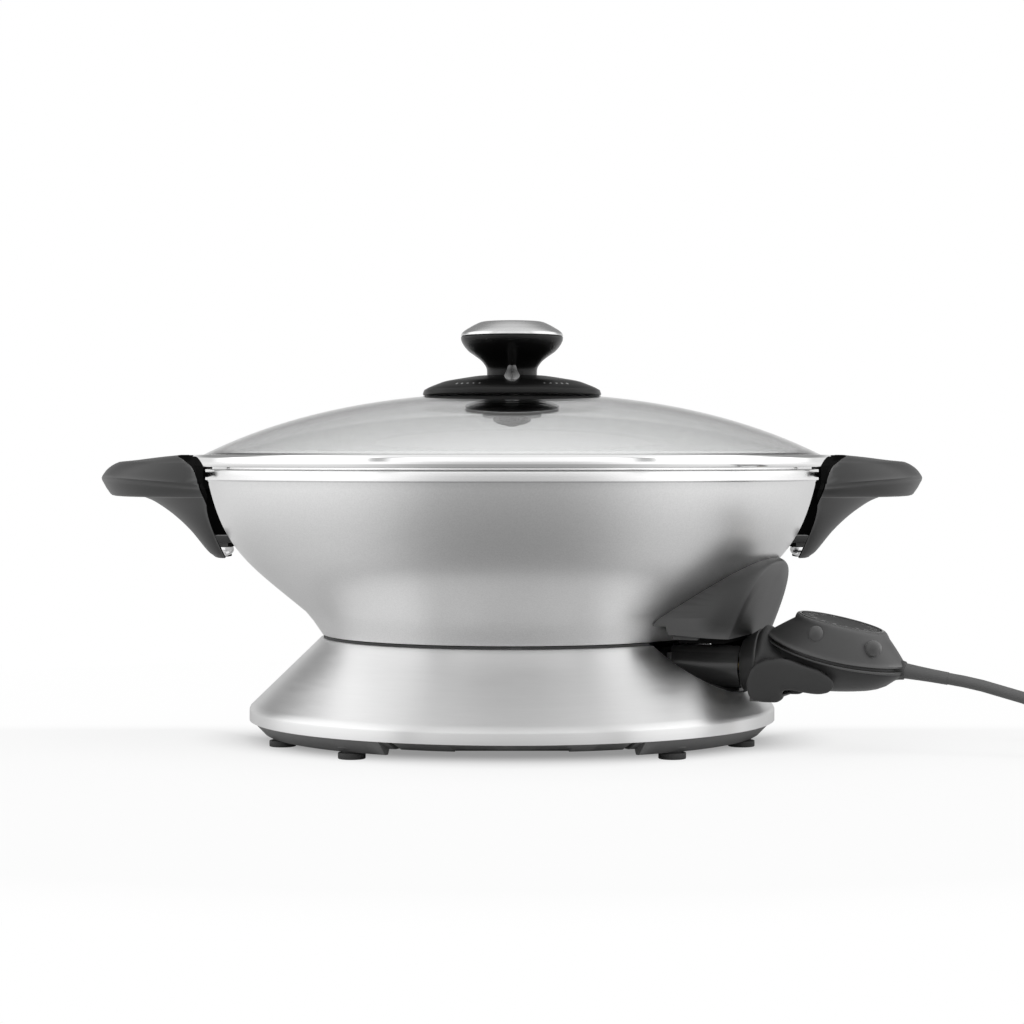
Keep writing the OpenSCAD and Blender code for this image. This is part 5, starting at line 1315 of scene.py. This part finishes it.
def make_shell():
    z = SOCKET_Z
    keel = [
        (0.9, 8, 5, z - 11.6), (0.7, 14, 9, z - 11.5), (0.5, 18.6, 12.3, z - 11.1), (0.2, 23, 15.5, z - 10.3),
        (0.4, 27.4, 18.5, z - 8.6), (0.7, 31.3, 21, z - 5.8),
    ]
    side = [
        (1, 36.2, 22.6, 4.6), (1, 36.6, 22.8, 3.9), (0.8, 36.8, 24.4, 3.6), (0.4, 37.4, 28.2, 3.3),
        (0.2, 37.9, 29.9, 2.9), (0, 38.3, 30.5, 2.3), (0, 38.2, 30.3, 1.9), (0, 37.5, 29.6, 1.65), (0, 35.6, 27.7, 1.6),
        (0, 35.4, 27.5, -0.1),
    ]
    rings = [oval(HOUSING_X + x, a, b, lambda at, level=level: level) for x, a, b, level in keel]
    rings += [seam_ring(HOUSING_X + x, a, b, drop) for x, a, b, drop in side]
    shell = loft("housing_shell", rings, PROBE, sharp=40)
    throat = tube_loft("throat", [(THROAT_X + x, z + up, r) for x, up, r in [
        (0.1, 3.9, 17.4), (0.5, 4, 17.8), (1.2, 4.4, 17.9), (2.4, 5.6, 17.9), (3.8, 6.3, 17.6), (5.6, 6, 17),
        (14, 3, 14), (20, 2, 12),
    ]])
    funnel = [(0, -10), (7.4, -10), (6.2, -4), (5.4, -1, 1), (5.0, 1.2, 0.5), (0, 1.2)]
    cut(shell, throat, lathe("funnel", funnel, RELIEF, steps=64), operation="UNION", sharp=40)
    finish_piece(shell, "probe", MATTE, "black_moulding", "probe_base")


def make_neck():
    z = SOCKET_Z
    neck = tube_loft("probe_throat", [
        *[(PROBE_X + x, z + up, r) for x, up, r in [(0, 1.3, 14.5), (0.6, 1.5, 15.1), (1.4, 1.7, 15.3)]],
        *[(THROAT_X + x, z + up, r) for x, up, r in [(-2, 3.5, 17.3), (-0.6, 3.9, 17.8), (0, 3.9, 17.4)]],
    ])
    room = [
        (0, 0), (SKIRT_R + 0.8, 0), (SKIRT_R + 0.8, BAND_TOP_Z), (SKIRT_TOP_R + 0.8, SKIRT_TOP_Z), (0, SKIRT_TOP_Z)
    ]
    bore = tube_loft("bore", [(PROBE_X - 1, z, 10.4), (THROAT_X + 1, z, 10.4)])
    cut(neck, lathe("skirt room", room, steps=160), bore, sharp=36)
    finish_piece(neck, "probe", MATTE, "black_moulding", "probe_neck")


def make_probe():
    make_cover()
    make_studs()
    make_shell()
    make_neck()
    tail = RELIEF_WAY.length
    relief = lathe("cord_relief", [
        (0, -3.5), (4.3, -3.5), (4.3, 1, 0.4), (4.25, 2), (3.9, 9), (3.65, 16), (CORD_R + 0.25, tail, 0.2), (0, tail)
    ], RELIEF, steps=48)
    finish_piece(relief, "probe", CORD, "cord_sheath", "strain_relief")


def make_studs():
    """Two round grip studs on the cover's near side."""
    stud = [(0, -3), (4.3, -3), (4.3, 0.5), (4.1, 1.0), (3.5, 1.6), (2.5, 2.1), (1.2, 2.35), (0, 2.4)]
    studs = [
        lathe("cover_studs", stud, PROBE @ Matrix.Translation((HOUSING_X + x, -HOUSING_B + y, SOCKET_Z + z)) @ FLAT,
              steps=48, sharp=40)
        for x, y, z in ((-5.2, 3.2, 21.2), (25.2, 8.4, 13.6))
    ]
    finish_piece(join(*studs), "probe", COVER, "grey_moulding", "grip_studs")


# ---------------------------------------------------------------- dial

def make_dial():
    dial = lathe("dial_disc", [
        (0, -DIAL_T + 0.2), *near(DIAL_R, -DIAL_T, [(-0.4, 0.2), (0, 0.6)]),
        *near(DIAL_R, 0, [(0, -0.4, 0.3), (-0.6, 0.15, 0.3), (-1.6, 0.2, 0.2), (-2.0, -0.02, 0.2)]), (0, -0.02),
    ], DIAL)
    finish_piece(dial, "dial", DIAL_BLACK, "dial_black", "temperature_dial")
    make_numbers()
    make_strokes()
    trim = lathe("dial_ring", rectangle(DIAL_R + 0.3, DIAL_R + 1.5, -DIAL_T, 0.35, 0, 0, 0.3, 0.3), DIAL)
    finish_piece(trim, "probe", TRIM, "polished_steel", "dial_trim")


def make_numbers():
    """Plain numbers round the dial."""
    count = 15
    numbers = []
    for k in range(count):
        turn = math.radians(90 - DIAL_SWEEP * k / (count - 1) - 30)
        text = bpy.data.curves.new("number", "FONT")
        text.body = str(k + 1)
        text.size = 3.9
        text.align_x = text.align_y = "CENTER"
        text.extrude = 0.06
        text.resolution_u = 3
        label = link(bpy.data.objects.new("number", text))
        mesh = baked_mesh(label)
        bpy.data.objects.remove(label)
        place = Matrix.Translation(turned(DIAL_R - 5.2, turn, 0.04))
        mesh.transform(Matrix.Scale(MM, 4) @ DIAL @ place @ Matrix.Rotation(turn - math.pi / 2, 4, "Z"))
        numbers.append(link(bpy.data.objects.new("dial_numbers", mesh)))
    finish_piece(join(*numbers), "dial", INK, "dial_black")


def make_strokes():
    """Short strokes round the dial's edge, at the numbers and between them, set by a node tree."""
    def grow(tree, given):
        line = add(tree, "GeometryNodeMeshLine", {"Count": given["Count"]})[0]
        step = given["Sweep"] / (given["Count"] - 1.0)
        turn = given["Start"] - add(tree, "GeometryNodeInputIndex")[0] * step
        reach = given["Circle radius"]
        place = combine(tree, reach * calc("COSINE", turn), reach * calc("SINE", turn), 0.03 * MM)
        points = add(tree, "GeometryNodeSetPosition", {"Geometry": line, "Position": place})[0]
        block = add(tree, "GeometryNodeMeshCube", {"Size": given["Stroke"]})["Mesh"]
        inputs = {"Points": points, "Instance": block, "Rotation": combine(tree, 0.0, 0.0, turn)}
        return add(tree, "GeometryNodeInstanceOnPoints", inputs)[0]

    values = {
        "Circle radius": (DIAL_R - 2.7) * MM, "Sweep": math.radians(DIAL_SWEEP), "Start": math.radians(60),
        "Count": 29, "Stroke": (1.1 * MM, 0.3 * MM, 0.14 * MM),
    }
    strokes = grown_piece("dial_strokes", values, INK, grow)
    strokes.data.transform(Matrix.Translation(DIAL.translation * MM) @ DIAL.to_3x3().to_4x4())
    finish_piece(strokes, "dial", INK, "dial_black")


# ---------------------------------------------------------------- trigger

TRIGGER_OUTLINE = [
    (56.3, -5.2), (54.2, -2.1), (48.3, 1.9), (39.8, 4.6), (32.4, 7.2), (26, 8.3), (18.4, 7.3), (13, 5.1), (9.2, 0.8),
    (7.3, -5.6), (8.1, -11.9), (9.8, -15.5), (15.1, -17), (24.8, -17), (28.1, -14.9), (29.2, -12.5), (26.8, -10.8),
    (28.6, -10), (33.4, -9.8), (39.8, -11.1), (47.2, -11.9), (52.6, -11), (55.8, -8.3),
]


def make_lobe(side):
    """One thumb lobe beside the housing, with edges that fall away from its crown."""
    inner, outer = TRIGGER_IN_W + 0.5, TRIGGER_OUT_W + 0.5
    outline = [(PROBE_X + 32 + 1.005 * (x - 32), SOCKET_Z - 4.8 + 0.99 * (z + 4.5)) for x, z in TRIGGER_OUTLINE]
    lobe = slab("trigger_lobes", outline, outer - inner, Matrix.Translation((0, side * (inner + outer) / 2, 0)))
    lobe.data.transform(PROBE)
    modify(lobe, "REMESH", mode="VOXEL", voxel_size=0.6 * MM)
    modify(lobe, "SMOOTH", factor=0.5, iterations=55)
    settle(lobe, 60)
    back, middle = PROBE.inverted(), Vector(((PROBE_X + 25) * MM, (SOCKET_Z - 1) * MM))
    for vertex in lobe.data.vertices:
        at = back @ vertex.co
        away = (Vector((at.x, at.z)) - middle).length / (30 * MM)
        out = max(0, min(1, (abs(at.y) / MM - inner) / (outer - inner)))
        at.y -= side * 2.6 * MM * out * min(1, away * away)
        vertex.co = PROBE @ at
    smooth(lobe.data, 60)
    return lobe


def make_trigger():
    """A squeeze trigger: two soft lobes beside the housing, joined by a bar that slopes away under the spring."""
    section = near(PROBE_X, SOCKET_Z, [
        (8.6, -17), (19.9, -17), (19.9, -15.6), (14.2, -15.05), (13.2, -14.7), (8.6, -14.7),
    ])
    lobes = [make_lobe(side) for side in (-1, 1)]
    trigger = join(*lobes, ease(slab("bar", section, 2 * TRIGGER_IN_W + 1, PROBE), 0.4))
    finish_piece(trigger, "trigger", MATTE, "black_moulding", "release_trigger")


# ---------------------------------------------------------------- CAD nodes that keep their own mesh

def paint_inner_nodes():
    """Inner and small pieces keep their CAD mesh, and take a finish."""
    finishes = {
        PLAIN_STEEL: "base_screws latch_plate latch_rivets release_spring terminal_pins latch_stud handle_studs "
                     "sensor_rod probe_screws dial_shaft trigger_pin trigger_spring",
        ELEMENT: "heating_element",
        CERAMIC: "terminal_beads thermostat_block",
        COPPER: "sensor_well",
        BRASS: "contact_sleeves",
        FLAT_BLACK_AND_PAINTED_SHADE: "saddle_screws guard_screws",
    }
    for material, nodes in finishes.items():
        for node in nodes.split():
            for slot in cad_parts[node].material_slots:
                slot.material = material


# ---------------------------------------------------------------- stage

def bearing_tone(front, turns):
    """A tone by bearing: degrees from straight ahead of the object's front, with a tone for each."""
    stops = sorted((0.5 - 0.5 * math.cos(math.radians(turn)), tone) for turn, tone in turns)
    ramp = add(front.tree, "ShaderNodeValToRGB", {0: calc("MULTIPLY_ADD", front, 0.5, 0.5)})
    elements = ramp.node.color_ramp.elements
    while len(elements) < len(stops):
        elements.new(0.5)
    for element, (place, tone) in zip(elements, stops):
        element.position = place
        element.color = grey(tone)
    return ramp[0]


def as_grey(tone):
    return add(tone.tree, "ShaderNodeCombineColor", {0: tone, 1: tone, 2: tone})[0]


def mirrored_tone(axis):
    """What the metal sees of the studio: a grey room by the camera, tall white screens at the sides, dusk behind."""
    level = calc("SQRT", axis[0] * axis[0] + axis[1] * axis[1])
    front = axis[1] / calc("MAXIMUM", level, 1e-4)
    around = bearing_tone(front, [
        (0, 0.66), (28, 0.72), (41, 0.82), (45.2, 0.3), (48.8, 0.3), (52, 0.9), (60, 1.0), (112, 1.0), (118, 1.0),
        (126, 0.74), (133, 0.5), (150, 0.5), (180, 0.5),
    ])
    dusk = between(front, 0.46, 0.7, 0.0, 0.62) * between(axis[2], 0.08, 0.3)
    return mix_value(between(axis[2], 0.6, 0.95), around * (1.0 - dusk) * 1.6, 0.9)


def make_world():
    world = bpy.data.worlds.new("studio")
    bpy.context.scene.world = world
    tree = empty_tree(world)
    axis = split(add(tree, "ShaderNodeTexCoord")["Generated"])
    path = add(tree, "ShaderNodeLightPath")
    fill = between(axis[1], -1.0, 1.0, 1.0, 0.35, kind="LINEAR")
    seen = mix_value(path["Is Glossy Ray"], fill, mirrored_tone(axis))
    level = mix_value(calc("MAXIMUM", path["Is Camera Ray"], path["Is Transmission Ray"]), seen, 1.0)
    shader = add(tree, "ShaderNodeBackground", {"Color": as_grey(level), "Strength": 1.0})
    add(tree, "ShaderNodeOutputWorld", {0: shader[0]})


def make_floor():
    """A white floor that keeps the object's shadow near it, with a painted soft shade where its white glow is weaker by
    the base, and is plain white further off.
    """
    half = 14
    mesh = bpy.data.meshes.new("floor")
    mesh.from_pydata([(-half, -half, 0), (half, -half, 0), (half, half, 0), (-half, half, 0)], [], [(0, 1, 2, 3)])
    floor = link(bpy.data.objects.new("floor", mesh))
    material = bpy.data.materials.new("studio floor")
    mesh.materials.append(material)
    tree = empty_tree(material)
    where = object_place(tree)
    depth = split(where)[1]
    path = add(tree, "ShaderNodeLightPath")

    def length(vector):
        return add(tree, "ShaderNodeVectorMath", {0: vector}, operation="LENGTH")["Value"]

    def paper(tone):
        return add(tree, "ShaderNodeBsdfDiffuse", {"Color": grey(tone)})[0]

    def glow(colour):
        return add(tree, "ShaderNodeEmission", {"Color": colour, "Strength": 1.0})[0]

    def mix_shader(factor, a, b):
        return add(tree, "ShaderNodeMixShader", {0: factor, 1: a, 2: b})[0]

    reach = length(where)
    squeezed = add(tree, "ShaderNodeVectorMath", {0: where, 1: (0.85, 1.15, 1.0)}, operation="MULTIPLY")[0]
    # How much plain white glow stands in for the lit floor: low by the base, a painted shade on top of the real shadow,
    # and white further off and behind.
    lift = calc("MAXIMUM", between(length(squeezed), 0.105, 0.165, 0.28, 0.8), between(reach, 0.3, 0.62))
    lift = calc("MAXIMUM", lift, between(depth, -0.07, 0.08, 0.0, 0.98))
    front = depth / calc("MAXIMUM", reach, 1e-4)
    around = bearing_tone(front, [
        (0, 0.45), (18, 0.49), (28, 0.6), (38, 0.82), (48, 0.96), (62, 1.0), (90, 0.9), (125, 0.72), (180, 0.6),
    ])
    tone = around * between(reach, 0.2, 0.85, 0.76, 1.28)
    mirrored = mix_shader(between(reach, 0.12, 0.2), paper(0.5), glow(as_grey(tone)))
    unseen = mix_shader(path["Is Glossy Ray"], paper(0.5), mirrored)
    seen = mix_shader(lift, paper(0.86), glow(grey(1.0)))
    shown = calc("MAXIMUM", path["Is Camera Ray"], path["Is Transmission Ray"])
    add(tree, "ShaderNodeOutputMaterial", {0: mix_shader(shown, unseen, seen)})


def make_lamp(name, place, size, power):
    data = bpy.data.lights.new(name, "AREA")
    data.shape = "RECTANGLE"
    data.size, data.size_y = size
    data.energy = power
    lamp = link(bpy.data.objects.new(name, data))
    lamp.location = place
    lamp.rotation_euler = (Vector((0, 0, 0.12)) - Vector(place)).to_track_quat("-Z", "Y").to_euler()
    lamp.visible_glossy = False


def make_stage():
    make_world()
    make_floor()
    make_lamp("overhead softbox", (0, -0.3, 1.9), (1.6, 1.2), 9)
    make_lamp("left softbox", (-1.7, -0.7, 0.9), (0.7, 1.3), 6)
    make_lamp("right softbox", (1.7, -0.7, 0.9), (0.7, 1.3), 6)
    bpy.context.scene.view_settings.view_transform = "Standard"


# ---------------------------------------------------------------- making

make_camera()
cord, cord_exit, cord_length = make_cord()
extras = make_plug_and_tie()
tuple(cord_exit)
make_base()
make_bowl()
make_handles()
make_socket()
make_lid()
make_knob()
make_probe()
make_dial()
make_trigger()
paint_inner_nodes()
make_stage()
